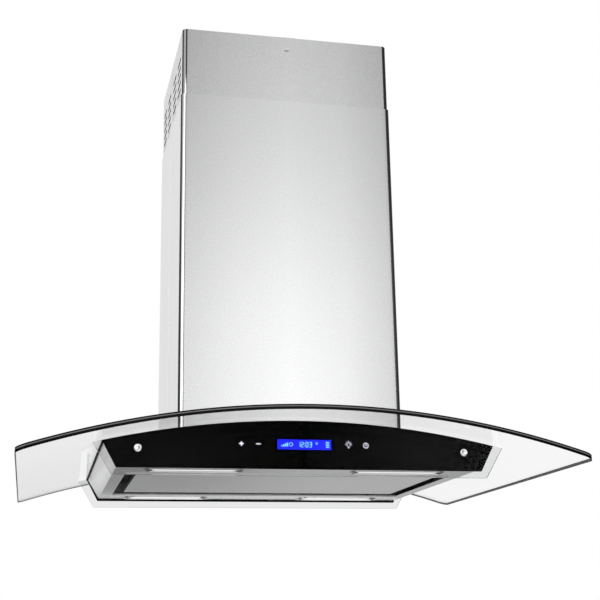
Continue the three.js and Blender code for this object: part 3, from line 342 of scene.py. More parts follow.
def brushed_steel(name, grain, light=0.78, roughness=0.28, painted_shade_depth=0.0, width=0.5):
    """Stainless steel with brush lines along one axis, smoother where it is stretched round a fold.

    Grain is the stretch of the noise on x, y and z. Painted shade depth is how much darker the colour
    is painted near the ends of the given width than in its middle: painted shade, where the light
    falls off towards the folds.
    """
    steel = new_finish(name)
    lines = steel.noise(BRUSH_LINES, grain, detail=3.0)
    speckle = steel.noise(BRUSH_SPECKLE, detail=2.0)
    cloud = steel.noise(BRUSH_CLOUD, detail=2.0)
    # Painted shade: the colour is darkened near the ends of the width, where the light falls off towards
    # the folds.
    painted_lit_share = steel.ramp(steel.axis(steel.place(), "X") / width + 0.5, PAINTED_SHADE_ACROSS)
    brushing = (lines - 0.5) * 0.03 + (speckle - 0.5) * 0.26 + (cloud - 0.5) * 0.05
    tone = brushing + (painted_lit_share - 1.0) * painted_shade_depth + light
    normal = steel.node("TexCoord", output="Normal")
    corner = steel.axis(normal, "X") * steel.axis(normal, "Y")
    fold = steel.node("Math", {"operation": "ABSOLUTE"}, {0: corner})
    steel.set(
        Base_Color=steel.ramp(tone, [(0.0, 0.0), (1.0, (0.995, 0.998, 1.0))]),
        Metallic=1.0,
        Roughness=steel.larger(lines * 0.04 + roughness - fold * FOLD_POLISH, 0.05),
        Normal=steel.bump(lines * 0.2 + speckle * 0.8, 0.1, 0.00006),
    )
    return steel.owner


def carve(piece, *cutters):
    """Cuts each cutter out of a piece and removes the cutters."""
    for cutter in cutters:
        add_modifier(piece, "BOOLEAN", object=cutter, operation="DIFFERENCE", solver="EXACT")
        settle(piece)
        bpy.data.objects.remove(cutter)
    return piece


def soften(piece, width, angle=40, segments=2):
    add_modifier(piece, "BEVEL", width=width, segments=segments, limit_method="ANGLE",
                 angle_limit=math.radians(angle), use_clamp_overlap=True)
    return smooth(settle(piece))


def finish_piece(piece, material, body, *replaced, slot=None):
    """Gives a new piece its material, its body and the node it stands for, which is hidden; the slot is
    not used.
    """
    piece.data.materials.clear()
    piece.data.materials.append(material)
    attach(piece, body)
    if replaced:
        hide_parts(*replaced)
    return piece


def pill(name, length, width, thickness, centre, axis="Z", round_segments=8):
    """A closed slot-shaped block: round ends across its length, its thickness along one axis."""
    bm = bmesh.new()
    bmesh.ops.create_cube(bm, size=1.0, matrix=Matrix.Diagonal((length, width, thickness, 1)))
    upright = [e for e in bm.edges if abs(e.verts[0].co.z - e.verts[1].co.z) > thickness / 2]
    bmesh.ops.bevel(bm, geom=upright, offset=width * ROUND_END, segments=round_segments,
                    profile=0.5, affect="EDGES", material=-1)
    turns = {
        "Z": Matrix.Identity(4),
        "X": Matrix.Rotation(math.pi / 2, 4, "Z") @ Matrix.Rotation(math.pi / 2, 4, "X"),
        "Y": Matrix.Rotation(math.pi / 2, 4, "X"),
    }
    bmesh.ops.transform(bm, matrix=Matrix.Translation(centre) @ turns[axis], verts=bm.verts)
    return make_object(name, bm)


def rod(name, radius, start, end, segments=24):
    """A round bar from one point to another."""
    start, end = Vector(start), Vector(end)
    bm = bmesh.new()
    bmesh.ops.create_cone(bm, cap_ends=True, segments=segments, radius1=radius, radius2=radius,
                          depth=(end - start).length)
    turn = (end - start).to_track_quat("Z", "Y").to_matrix().to_4x4()
    bmesh.ops.transform(bm, matrix=Matrix.Translation((start + end) / 2) @ turn, verts=bm.verts)
    return make_object(name, bm)


def joined(name, pieces):
    """One object made of several, which are removed."""
    bm = bmesh.new()
    for piece in pieces:
        bm.from_mesh(piece.data)
        bpy.data.objects.remove(piece)
    return make_object(name, bm)


def only_verts(geometry):
    return [item for item in geometry if isinstance(item, bmesh.types.BMVert)]


def outer_face(node, side):
    """Where the front or rear face of a node is."""
    low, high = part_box(node)
    return low.y if side < 0 else high.y


def folded_half(node, side):
    """Half a square tube: three walls with folded corners, seen from above an open U."""
    low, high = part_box(node)
    seam_y = side * SEAM_GAP / 2
    face_y = outer_face(node, side)
    path = [(low.x, seam_y), (low.x, face_y), (high.x, face_y), (high.x, seam_y)]
    bm = bmesh.new()
    verts = [bm.verts.new((x, y, low.z)) for x, y in path]
    edges = [bm.edges.new(pair) for pair in zip(verts, verts[1:])]
    top = only_verts(bmesh.ops.extrude_edge_only(bm, edges=edges)["geom"])
    height = high.z - low.z
    bmesh.ops.translate(bm, vec=(0, 0, height), verts=top)
    folds = [e for e in bm.edges if abs(e.verts[0].co.z - e.verts[1].co.z) > height / 2
             and abs(e.verts[0].co.y - face_y) < NEAR]
    bmesh.ops.bevel(bm, geom=folds, offset=FOLD_RADIUS, segments=FOLD_SEGMENTS, profile=0.5,
                    affect="EDGES", material=-1)
    bmesh.ops.recalc_face_normals(bm, faces=bm.faces)
    if sum(f.normal.y * side * f.calc_area() for f in bm.faces) < 0:
        bmesh.ops.reverse_faces(bm, faces=bm.faces)
    return bm, low, high


def cut_into_strips(bm, low_x, high_x):
    """Cuts a mesh across its width, so that it can follow the arch."""
    count = int((high_x - low_x) / STEP)
    for i in range(1, count):
        x = low_x + (high_x - low_x) * i / count
        geometry = bm.verts[:] + bm.edges[:] + bm.faces[:]
        bmesh.ops.bisect_plane(bm, geom=geometry, plane_co=(x, 0, 0), plane_no=(1, 0, 0))


def stand_on_glass(bm, low, high):
    """Lifts the lower edge of the walls to the top of the arched glass."""
    cut_into_strips(bm, low.x, high.x)
    for vert in bm.verts:
        if vert.co.z < low.z + COVER_SHEET:
            vert.co.z = arch_height(vert.co.x, GLASS_THICKNESS) + GAP_TO_GLASS


def cover_sheet(name, node, side, on_glass):
    bm, low, high = folded_half(node, side)
    if on_glass:
        stand_on_glass(bm, low, high)
    piece = make_object(name, bm)
    add_modifier(piece, "SOLIDIFY", thickness=COVER_SHEET, offset=-1.0)
    return settle(piece)


def vent_cutters(node):
    low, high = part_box(node)
    slots = []
    for x in (low.x, high.x):
        for column in VENT_COLUMNS:
            for row in range(VENT_ROWS):
                centre = (x, column * MM, high.z - VENT_FIRST - row * VENT_PITCH)
                slots.append(pill("slot", VENT_LENGTH, VENT_HEIGHT, VENT_CUT, centre, "X", 5))
    return joined("slots", slots)


# The same brushed steel is painted lighter or darker on each part by its light value: painted light and
# shade. The lower covers take 0.88, the upper covers 0.84, the body 0.96 and the intake panel 0.78.
chimney_steel = brushed_steel("brushed steel, upright grain", (1, 1, 0.02), light=0.88, painted_shade_depth=0.2)
upper_steel = brushed_steel("brushed steel, upper cover", (1, 1, 0.02), light=0.84, painted_shade_depth=0.2)
ENDS = (("front", -1), ("rear", 1))
for end, side in ENDS:
    node = f"lower_cover_{end}"
    lower = soften(cover_sheet(f"{node}_sheet", node, side, True), LOWER_EDGE)
    finish_piece(lower, chimney_steel, "chimney_cover", node, slot="brushed_steel")
    node = f"upper_cover_{end}"
    upper = cover_sheet(f"{node}_sheet", node, side, False)
    hole_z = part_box(node)[1].z - SCREW_HOLE_DROP
    hole = pill("hole", *SCREW_HOLE, (0, outer_face(node, side), hole_z), "Y")
    carve(upper, vent_cutters(node), hole)
    finish_piece(soften(upper, UPPER_EDGE), upper_steel, "ceiling_frame", node, slot="brushed_steel")

# ---- Cover screws ------------------------------------------------------------------------------
# One nickel-plated screw with an oval head holds each upper cover half, through its hole, to the
# ceiling frame.
SCREW_HEAD = (10 * MM, 5.4 * MM, 2 * MM)
SCREW_HEAD_EDGE = 0.7 * MM
SCREW_SHANK_RADIUS = 1.9 * MM
SCREW_SHANK_START = 1.5 * MM

# This nickel finish also goes on the intake hems, which are the body's steel: there it is a painted
# highlight.
nickel_and_hem_highlight = new_finish("bright nickel, also the painted hem highlight")
worn = nickel_and_hem_highlight.noise(500.0, detail=3.0)
nickel_and_hem_highlight.set(
    Base_Color=nickel_and_hem_highlight.ramp(worn, [(0.3, (0.9, 0.9, 0.9)), (0.7, (0.97, 0.97, 0.97))]),
    Metallic=1.0,
    Roughness=worn * 0.1 + 0.3,
)
for end, side in ENDS:
    node = f"cover_screw_{end}"
    low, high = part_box(node)
    x, _, z = (low + high) / 2
    outer_y = outer_face(node, side)
    head = pill("head", *SCREW_HEAD, (x, outer_y - side * SCREW_HEAD[2] / 2, z), "Y", 8)
    shank_start = (x, outer_y - side * SCREW_SHANK_START, z)
    shank = rod("shank", SCREW_SHANK_RADIUS, shank_start, (x, outer_face(node, -side), z))
    screw = joined(f"{node}_oval", [soften(head, SCREW_HEAD_EDGE), shank])
    finish_piece(smooth(screw), nickel_and_hem_highlight.owner, "ceiling_frame", node)

# ---- Glass canopy ------------------------------------------------------------------------------
# One sheet of clear toughened glass, 8 mm thick and bent to a shallow arch, with rounded corners and
# ground and polished edges. It lies between the steel body below and the base frame above.
GLASS_CORNER = 18 * MM
EDGE_POLISH = 1.2 * MM
MOTOR_BOX_FOOT = 14 * MM
OPENING_CLEARANCE = 2 * MM
OPENING_CORNER = 4 * MM
# The painted highlight on the front rim: a grey band across the rim's thickness, from its underside at 0
# to its top at 1; the rest of the rim is painted near black as shade.
PAINTED_RIM_BAND = [(0.5, 0.002), (0.56, 0.3), (0.68, 0.3), (0.76, 0.002)]


def clear_glass(name, tint, bend):
    """Clear glass; bend is its refractive index."""
    glass = new_finish(name)
    ripple = glass.noise(6.0, detail=1.0)
    lighter = tuple(min(1.0, c + 0.01) for c in tint)
    glass.set(
        Base_Color=glass.ramp(ripple, [(0.3, tint), (0.7, lighter)]),
        Roughness=0.0,
        IOR=bend,
        Transmission_Weight=1.0,
        Normal=glass.bump(ripple, 0.02, 0.0005),
    )
    return glass.owner


def rounded_loop(bm, low, high, radius, segments, z):
    """A closed loop of edges round a rectangle with rounded corners."""
    verts = []
    centres = [(high.x - radius, high.y - radius), (low.x + radius, high.y - radius),
               (low.x + radius, low.y + radius), (high.x - radius, low.y + radius)]
    for quarter, (cx, cy) in enumerate(centres):
        for i in range(segments + 1):
            angle = (quarter + i / segments) * math.pi / 2
            verts.append(bm.verts.new((cx + radius * math.cos(angle), cy + radius * math.sin(angle), z)))
    return [bm.edges.new((a, b)) for a, b in zip(verts, verts[1:] + verts[:1])]


def arched_sheet():
    bm = bmesh.new()
    box_low, box_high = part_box("motor_box")
    inset = MOTOR_BOX_FOOT - OPENING_CLEARANCE
    inner_low = Vector((box_low.x + inset, box_low.y + inset, 0))
    inner_high = Vector((box_high.x - inset, box_high.y - inset, 0))
    edges = rounded_loop(bm, GLASS_LOW, GLASS_HIGH, GLASS_CORNER, 10, 0)
    edges += rounded_loop(bm, inner_low, inner_high, OPENING_CORNER, 3, 0)
    bmesh.ops.triangle_fill(bm, use_beauty=True, use_dissolve=False, edges=edges)
    cut_into_strips(bm, GLASS_LOW.x, GLASS_HIGH.x)
    lower = bm.verts[:]
    upper = only_verts(bmesh.ops.extrude_face_region(bm, geom=bm.faces[:])["geom"])
    for vert in lower:
        vert.co.z = arch_height(vert.co.x)
    for vert in upper:
        vert.co.z = arch_height(vert.co.x, GLASS_THICKNESS)
    bmesh.ops.recalc_face_normals(bm, faces=bm.faces)
    return make_object("canopy_sheet", bm)


def painted_dark_rim():
    """The front rim, painted near black as the shade glass shows end-on, with a painted highlight band
    below its upper corner.
    """
    edge = new_finish("glass rim, painted dark with a painted highlight")
    flat = edge.node("Mapping", inputs={"Vector": edge.place(), "Scale": (1, 0, 1),
                                        "Location": (0, 0, -ARCH_MIDDLE_Z)})
    radius = edge.node("VectorMath", {"operation": "LENGTH"}, {0: flat}, output="Value")
    share = (radius - ARCH_RADIUS) / GLASS_THICKNESS
    edge.set(
        # Painted shade and painted highlight: near black with a grey band, by height across the rim.
        Base_Color=edge.ramp(share, PAINTED_RIM_BAND),
        Roughness=edge.noise(300.0) * 0.1 + 0.08,
        IOR=1.15,
    )
    return edge.owner


def edge_grind_and_shade():
    """The ground edge of a glass sheet: matt, and painted dark grey as the shade seen along the edges."""
    ground = new_finish("ground glass edge, painted dark as shade")
    grit = ground.noise(900.0)
    # Painted shade: the edge is given a dark grey colour.
    ground.set(Base_Color=ground.ramp(grit, [(0.3, 0.1), (0.7, 0.16)]), Roughness=grit * 0.2 + 0.3)
    return ground.owner


def darken_rim(sheet):
    """Gives the front edge and its corners the painted dark rim and highlight, and the other edges the
    ground edge finish, painted dark.
    """
    sheet.data.materials.append(painted_dark_rim())
    sheet.data.materials.append(painted_edge_shade)
    for face in sheet.data.polygons:
        x, y, _ = face.center
        outside = abs(x) > GLASS_HIGH.x - GLASS_CORNER or abs(y) > GLASS_HIGH.y - GLASS_CORNER
        in_front = y < GLASS_LOW.y + GLASS_CORNER and face.normal.y < 0.01
        if in_front and abs(face.normal.z) < 0.95:
            face.material_index = 1
        elif outside and abs(face.normal.z) < 0.3:
            face.material_index = 2


painted_edge_shade = edge_grind_and_shade()
canopy_glass = clear_glass("clear canopy glass", (0.945, 0.947, 0.947), 1.06)
canopy = soften(arched_sheet(), EDGE_POLISH, angle=60, segments=2)
finish_piece(canopy, canopy_glass, "hood", "canopy_glass", slot="clear_glass")
darken_rim(canopy)

# ---- Steel body --------------------------------------------------------------------------------
# A shallow box of folded stainless steel under the glass, with sloping ends and an arched top. Its
# floor has the intake opening, with hems along its front and rear, and two lamp holes in each
# flange. The hems take the brighter nickel finish: a painted highlight along the intake's edges.
BODY_SHEET = 1.2 * MM
UNDER_GLASS = 0.3 * MM
BODY_LOW, BODY_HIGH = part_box("body_shell")
BODY_BOTTOM_HALF = 297 * MM
BODY_TOP_HALF = 319 * MM
INTAKE_HALF = (276 * MM, 152 * MM)
THROAT_HALF = (142 * MM, 122 * MM)
LAMPS = [f"lamp_{end}_{side}" for side in ("left", "right") for end in ("front", "rear")]
LAMP_FIT = 0.3 * MM
LAMP_RIM = 3 * MM
HEM_DEPTH = 2.2 * MM
HEM_THICKNESS = 1.0 * MM
HEM_EDGE = 0.2 * MM
BODY_EDGE = 0.35 * MM
BODY_WINDOW_RIM = 1 * MM
SHANK_HOLE_RADIUS = 3.3 * MM
CUT = 10 * MM


def arched_block(name, bottom_half, top_half, bottom_z, y0, y1, below=UNDER_GLASS):
    """A plate or box on end: flat bottom, sloping ends, and a top that follows the glass's underside."""
    count = 2 * int(top_half / STEP)
    tops = [top_half * (1 - 2 * i / count) for i in range(count + 1)]
    outline = [(-bottom_half, bottom_z), (bottom_half, bottom_z)]
    outline += [(x, arch_height(x, -below)) for x in tops]
    bm = bmesh.new()
    face = bm.faces.new([bm.verts.new((x, y0, z)) for x, z in outline])
    far = only_verts(bmesh.ops.extrude_face_region(bm, geom=[face])["geom"])
    bmesh.ops.translate(bm, vec=(0, y1 - y0, 0), verts=far)
    bmesh.ops.recalc_face_normals(bm, faces=bm.faces)
    return make_object(name, bm)


def block(name, low, high, turn=None):
    """A plain box between two corners, used as a cutter or as the start of a small piece."""
    low, high = Vector(low), Vector(high)
    bm = bmesh.new()
    size = high - low
    bmesh.ops.create_cube(bm, size=1.0, matrix=Matrix.Diagonal((*size, 1)))
    place = Matrix.Translation((low + high) / 2) @ (turn or Matrix.Identity(4))
    bmesh.ops.transform(bm, matrix=place, verts=bm.verts)
    return make_object(name, bm)


def lamp_hole(node):
    low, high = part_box(node)
    middle = (low + high) / 2
    under_rim = 2 * (LAMP_RIM - LAMP_FIT)
    length = high.x - low.x - under_rim
    width = high.y - low.y - under_rim
    return pill("lamp hole", length, width, CUT, (middle.x, middle.y, BODY_LOW.z), "Z", 10)


def display_window(rim, depth):
    """A cutter for the display and a rim round it, reaching a depth before and behind the front."""
    low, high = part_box("lcd_module")
    edge = Vector((rim, 0, rim))
    near = Vector((low.x, BODY_LOW.y - depth, low.z)) - edge
    far = Vector((high.x, BODY_LOW.y + depth, high.z)) + edge
    return block("window", near, far)


def shank_holes():
    """Two cutters for the shanks of the plate caps, right through from front to rear."""
    holes = []
    for side in ("left", "right"):
        low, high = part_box(f"plate_cap_front_{side}")
        x, _, z = (low + high) / 2
        holes.append(rod("shank hole", SHANK_HOLE_RADIUS, (x, GLASS_LOW.y, z), (x, GLASS_HIGH.y, z), 16))
    return holes


def steel_body():
    body = arched_block("body_sheet", BODY_BOTTOM_HALF, BODY_TOP_HALF, BODY_LOW.z, BODY_LOW.y, BODY_HIGH.y)
    add_modifier(body, "SOLIDIFY", thickness=BODY_SHEET, offset=-1.0, use_even_offset=True)
    settle(body)
    x, y = INTAKE_HALF
    intake = block("intake", (-x, -y, BODY_LOW.z - CUT), (x, y, BODY_LOW.z + CUT / 2))
    x, y = THROAT_HALF
    throat = block("throat", (-x, -y, BODY_HIGH.z - 2 * CUT), (x, y, BODY_HIGH.z + CUT))
    window = display_window(BODY_WINDOW_RIM, CUT / 2)
    return carve(body, intake, throat, window, *shank_holes(), *(lamp_hole(lamp) for lamp in LAMPS))


def intake_hem(end, side):
    """The lip folded down along a long edge of the intake."""
    x, y = INTAKE_HALF
    near, far = sorted((side * y, side * (y + HEM_THICKNESS)))
    low = (-x, near, BODY_LOW.z - HEM_DEPTH)
    return soften(block(f"intake_hem_{end}", low, (x, far, BODY_LOW.z)), HEM_EDGE)


# The body's steel is painted lighter than that of the covers and the panel: painted light.
body_steel = brushed_steel("brushed steel, grain along the body", (0.02, 1, 1), light=0.96,
                           roughness=0.24, painted_shade_depth=0.32, width=0.78)
body = soften(steel_body(), BODY_EDGE)
finish_piece(body, body_steel, "hood", "body_shell", slot="brushed_steel")
for end, side in ENDS:
    # The hems take the brighter nickel finish instead of the body's steel: a painted highlight along the
    # intake.
    finish_piece(intake_hem(end, side), nickel_and_hem_highlight.owner, "hood", slot="brushed_steel")

# ---- Body seals --------------------------------------------------------------------------------
# A black rubber strip lies along the top of each sloping side. It is cut to length from an extruded
# profile and held by the pressure between the steel and the glass.


def matt(name, colour, roughness, grain=400.0, depth=0.00008):
    """Moulded plastic or rubber: an even colour with a fine moulded texture."""
    plastic = new_finish(name)
    texture = plastic.noise(grain, detail=6.0)
    lighter = tuple(min(1.0, c * 1.25 + 0.01) for c in colour)
    plastic.set(
        Base_Color=plastic.ramp(texture, [(0.3, colour), (0.7, lighter)]),
        Roughness=texture * 0.2 + (roughness - 0.1),
        Normal=plastic.bump(texture, 0.25, depth),
    )
    return plastic.owner


def dress(material, *names):
    """Gives CAD nodes their material."""
    for name in names:
        nodes[name].data.materials.clear()
        nodes[name].data.materials.append(material)


black_rubber = matt("black rubber", (0.012, 0.012, 0.012), 0.75)
dress(black_rubber, "glass_seal_left", "glass_seal_right")

# ---- Front and rear plates ---------------------------------------------------------------------
# On each long face a plate of clear glass with ground edges lies over a smaller plate enamelled
# gloss black, so the black shows through it with a clear border all round.
BACKING = (298.6 * MM, 320.6 * MM)
BACKING_EDGE = 0.4 * MM
BACKING_WINDOW_RIM = 0.3 * MM
BACKING_WINDOW_CUT = 50 * MM
PLATE = (305.5 * MM, 335 * MM)
PLATE_EDGE = 0.8 * MM
RIM_X = 300 * MM
RIM_Z = 1 * MM


def face_plate(name, node, halves, edge, *windows):
    low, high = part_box(node)
    plate = arched_block(name, *halves, low.z, low.y, high.y)
    carve(plate, *shank_holes(), *windows)
    return soften(plate, edge)


def grind_rim(plate):
    """Gives the ends and the bottom edge of a plate the ground edge finish, painted dark as shade."""
    plate.data.materials.append(painted_edge_shade)
    bottom = min(face.center.z for face in plate.data.polygons)
    for face in plate.data.polygons:
        on_rim = abs(face.center.x) > RIM_X or face.center.z < bottom + RIM_Z
        if on_rim and abs(face.normal.y) < 0.3 and face.normal.z < 0.5:
            face.material_index = 1


gloss_black = new_finish("gloss black enamel")
haze = gloss_black.noise(5.0, detail=2.0)
along = gloss_black.axis(gloss_black.place(), "X")
gloss_black.set(
    # Painted sheen: the black is painted lighter towards both ends of the plate than in its middle, most
    # at the right end.
    Base_Color=gloss_black.ramp(along * 1.6 + 0.5, [(0.02, 0.008), (0.5, 0.0004), (0.98, 0.022)]),
    Roughness=haze * 0.06 + 0.05,
    Specular_IOR_Level=0.02,
)
plate_glass = clear_glass("clear plate glass", (0.8, 0.805, 0.805), 1.05)
for end, side in ENDS:
    windows = [display_window(BACKING_WINDOW_RIM, BACKING_WINDOW_CUT)] if side < 0 else []
    node = f"{end}_backing"
    backing = face_plate(f"{end}_black_plate", node, BACKING, BACKING_EDGE, *windows)
    finish_piece(backing, gloss_black.owner, "hood", node, slot="black_backing")
    node = f"{end}_glass"
    plate = face_plate(f"{end}_glass_plate", node, PLATE, PLATE_EDGE)
    finish_piece(plate, plate_glass, "hood", node, slot="clear_glass")
    grind_rim(plate)

# ---- Plate caps --------------------------------------------------------------------------------
# Four turned and chromed caps with a socket in the middle. The shank of each goes through a plate,
# its backing and the body, and clamps them together.
CAP_HEAD = 5 * MM
CAP_SHANK_RADIUS = 3 * MM
CAP_RIM = 3 * MM
CAP_ROUND = 2 * MM
CAP_ROUND_STEPS = 5
SOCKET_RADIUS = 2.7 * MM
SOCKET_DEPTH = 3 * MM
SOCKET_BEVEL = 0.4 * MM
WELD = 1e-7

polished_chrome = new_finish("polished chrome")
wipe = polished_chrome.noise(60.0, (1, 1, 1), detail=3.0)
polished_chrome.set(
    Base_Color=polished_chrome.ramp(wipe, [(0.3, (0.78, 0.78, 0.79)), (0.7, (0.86, 0.86, 0.87))]),
    Metallic=1.0,
    Roughness=wipe * 0.06 + 0.04,
)


def turned(name, profile, place, turn, segments=40):
    """A solid turned from a profile of radius and height, its axis along the turned z."""
    bm = bmesh.new()
    verts = [bm.verts.new((r, 0, h)) for r, h in profile]
    edges = [bm.edges.new(pair) for pair in zip(verts, verts[1:])]
    bmesh.ops.spin(bm, geom=verts + edges, axis=(0, 0, 1), cent=(0, 0, 0), steps=segments,
                   angle=2 * math.pi, use_merge=True, use_duplicate=False)
    bmesh.ops.remove_doubles(bm, verts=bm.verts, dist=WELD)
    bmesh.ops.recalc_face_normals(bm, faces=bm.faces)
    bmesh.ops.transform(bm, matrix=Matrix.Translation(place) @ turn, verts=bm.verts)
    return make_object(name, bm)


def plate_cap(node, side):
    low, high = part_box(node)
    middle = (low + high) / 2
    radius = (high.x - low.x) / 2
    length = high.y - low.y
    seat = length - CAP_HEAD
    rim = seat + CAP_RIM
    profile = [(0, 0), (CAP_SHANK_RADIUS, 0), (CAP_SHANK_RADIUS, seat), (radius, seat), (radius, rim)]
    for i in range(1, CAP_ROUND_STEPS + 1):
        angle = i / CAP_ROUND_STEPS * math.pi / 2
        inward = CAP_ROUND * (1 - math.cos(angle))
        profile.append((radius - inward, rim + CAP_ROUND * math.sin(angle)))
    profile += [
        (SOCKET_RADIUS + SOCKET_BEVEL, length),
        (SOCKET_RADIUS, length - SOCKET_BEVEL),
        (SOCKET_RADIUS, length - SOCKET_DEPTH + SOCKET_BEVEL),
        (0, length - SOCKET_DEPTH),
    ]
    turn = Matrix.Rotation(math.radians(-90 * side), 4, "X")
    return turned(f"{node}_turned", profile, (middle.x, outer_face(node, -side), middle.z), turn)


for end, side in ENDS:
    for hand in ("left", "right"):
        node = f"plate_cap_{end}_{hand}"
        cap = smooth(plate_cap(node, side), 50)
        finish_piece(cap, polished_chrome.owner, "hood", node, slot="chrome")

# ---- Display and touch symbols -----------------------------------------------------------------
# A lit blue display shows through a window in the black backing, and four white touch symbols are
# printed on it beside the display. They are thin films on the backing, under the clear plate.
FILM = 0.08 * MM
FILM_STAND = 0.1 * MM
LCD_LOW, LCD_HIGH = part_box("lcd_module")
FILM_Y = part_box("front_backing")[0].y - FILM_STAND
FIGURE_Y = LCD_LOW.y - FILM_STAND
SYMBOL_Z = (LCD_LOW.z + LCD_HIGH.z) / 2

# The figures' places across the display are in millimetres from its middle.
DIGIT_SEGMENTS = {"0": "abcdef", "1": "bc", "2": "abdeg", "3": "abcdg"}
CLOCK_FIGURES = (("1", -9), ("2", -3.6), ("0", 4.0), ("3", 10))
DIGIT_SIZE = (3.4 * MM, 7.6 * MM, 0.9 * MM)
SIGNAL_X = -37
SIGNAL_PITCH = 3
LEVEL_X = 38
RING_STEPS = 24
SYMBOL_LENGTH = 7.5 * MM
SYMBOL_STROKE = 1.5 * MM
LAMP_RAYS = 5


def glowing(name, colour, strength):
    light = new_finish(name)
    mottle = light.noise(90.0, detail=1.0)
    dimmer = tuple(c * 0.92 for c in colour)
    shade = light.ramp(mottle, [(0.3, dimmer), (0.7, colour)])
    light.set(Base_Color=shade, Roughness=0.3, Emission_Color=shade, Emission_Strength=strength)
    return light.owner


def bar(x, z, width, height, tilt=0.0, y=FILM_Y):
    turn = Matrix.Rotation(tilt, 4, "Y")
    half = Vector((width / 2, FILM / 2, height / 2))
    middle = Vector((x, y, z))
    return block("bar", middle - half, middle + half, turn)


def ring(x, z, radius, stroke, start=0.0, sweep=2 * math.pi, y=FILM_Y):
    """A flat ring or part of one, drawn with a stroke."""
    bm = bmesh.new()
    corners = [(radius - stroke / 2, -FILM / 2), (radius + stroke / 2, -FILM / 2),
               (radius + stroke / 2, FILM / 2), (radius - stroke / 2, FILM / 2)]
    verts = [bm.verts.new((r * math.cos(start), h, r * math.sin(start))) for r, h in corners]
    face = bm.faces.new(verts)
    whole = abs(sweep - 2 * math.pi) < NEAR
    geometry = [face] + face.edges[:] + verts
    if whole:
        bmesh.ops.delete(bm, geom=[face], context="FACES_ONLY")
        geometry = bm.edges[:] + bm.verts[:]
    bmesh.ops.spin(bm, geom=geometry, axis=(0, 1, 0), cent=(0, 0, 0), steps=RING_STEPS,
                   angle=-sweep, use_merge=whole, use_duplicate=False)
    bmesh.ops.remove_doubles(bm, verts=bm.verts, dist=WELD)
    bmesh.ops.recalc_face_normals(bm, faces=bm.faces)
    bmesh.ops.translate(bm, vec=(x, y, z), verts=bm.verts)
    return make_object("ring", bm)


def digit(character, x, z, width, height, stroke):
    """A seven-segment figure."""
    tall = height / 2
    places = {
        "a": (0, tall, width, stroke), "g": (0, 0, width, stroke), "d": (0, -tall, width, stroke),
        "b": (width / 2, tall / 2, stroke, tall), "c": (width / 2, -tall / 2, stroke, tall),
        "f": (-width / 2, tall / 2, stroke, tall), "e": (-width / 2, -tall / 2, stroke, tall),
    }
    for segment in DIGIT_SEGMENTS[character]:
        dx, dz, w, h = places[segment]
        yield bar(x + dx, z + dz, w, h, y=FIGURE_Y)


def clock_figures():
    marks = []
    for character, x in CLOCK_FIGURES:
        marks += digit(character, x * MM, SYMBOL_Z, *DIGIT_SIZE)
    stroke = DIGIT_SIZE[2]
    marks += [bar(0.3 * MM, SYMBOL_Z + dz * MM, stroke, stroke, y=FIGURE_Y) for dz in (-1.8, 1.8)]
    return marks


def signal_bars():
    for i in range(4):
        height = (2.0 + 1.4 * i) * MM
        z = SYMBOL_Z - 3.4 * MM + height / 2
        yield bar((SIGNAL_X + SIGNAL_PITCH * i) * MM, z, 1.8 * MM, height, y=FIGURE_Y)


def display_marks():
    marks = clock_figures() + list(signal_bars())
    marks.append(ring(-22 * MM, SYMBOL_Z, 2.7 * MM, 0.7 * MM, y=FIGURE_Y))
    marks.append(ring(20 * MM, SYMBOL_Z + 2 * MM, 1.4 * MM, 0.6 * MM, y=FIGURE_Y))
    for dz in (-4, -1.4, 1.4, 4):
        marks.append(bar(LEVEL_X * MM, SYMBOL_Z + dz * MM, 5.4 * MM, 1.2 * MM, y=FIGURE_Y))
    return joined("display_figures", marks)


def minus_symbol(x):
    return [bar(x, SYMBOL_Z, SYMBOL_LENGTH, SYMBOL_STROKE)]


def plus_symbol(x):
    return minus_symbol(x) + [bar(x, SYMBOL_Z, SYMBOL_STROKE, SYMBOL_LENGTH)]


def lamp_symbol(x):
    middle_z = SYMBOL_Z + 1.2 * MM
    ray_distance = 5.4 * MM
    bulb = [ring(x, middle_z, 2.9 * MM, 0.9 * MM, math.radians(-55), math.radians(290))]
    bulb += [bar(x, SYMBOL_Z - dz * MM, 3.0 * MM, 0.8 * MM) for dz in (2.6, 4.0)]
    for i in range(LAMP_RAYS):
        angle = math.pi * i / (LAMP_RAYS - 1)
        ray_x = x + ray_distance * math.cos(angle)
        ray_z = middle_z + ray_distance * math.sin(angle)
        bulb.append(bar(ray_x, ray_z, 1.7 * MM, 0.7 * MM, -angle))
    return bulb


def clock_symbol(x):
    face = ring(x, SYMBOL_Z, 4.0 * MM, 0.9 * MM)
    long_hand = bar(x, SYMBOL_Z + 1.2 * MM, 0.8 * MM, 3.0 * MM)
    short_hand = bar(x + 1.0 * MM, SYMBOL_Z, 2.2 * MM, 0.8 * MM)
    return [face, long_hand, short_hand]


symbol_white = glowing("lit white symbols", (0.86, 0.84, 1.0), 1.1)
for name, marks in (
    ("symbol_plus", plus_symbol(-102.5 * MM)),
    ("symbol_minus", minus_symbol(-75 * MM)),
    ("symbol_lamp", lamp_symbol(73 * MM)),
    ("symbol_clock", clock_symbol(102 * MM)),
):
    finish_piece(joined(name, marks), symbol_white, "hood", slot="lamp_lens")
dress(glowing("lit blue display", (0.0, 0.004, 1.0), 1.0), "lcd_module")
figure_blue = glowing("lit display figures", (0.25, 0.75, 1.0), 1.2)
finish_piece(display_marks(), figure_blue, "hood", slot="blue_display")

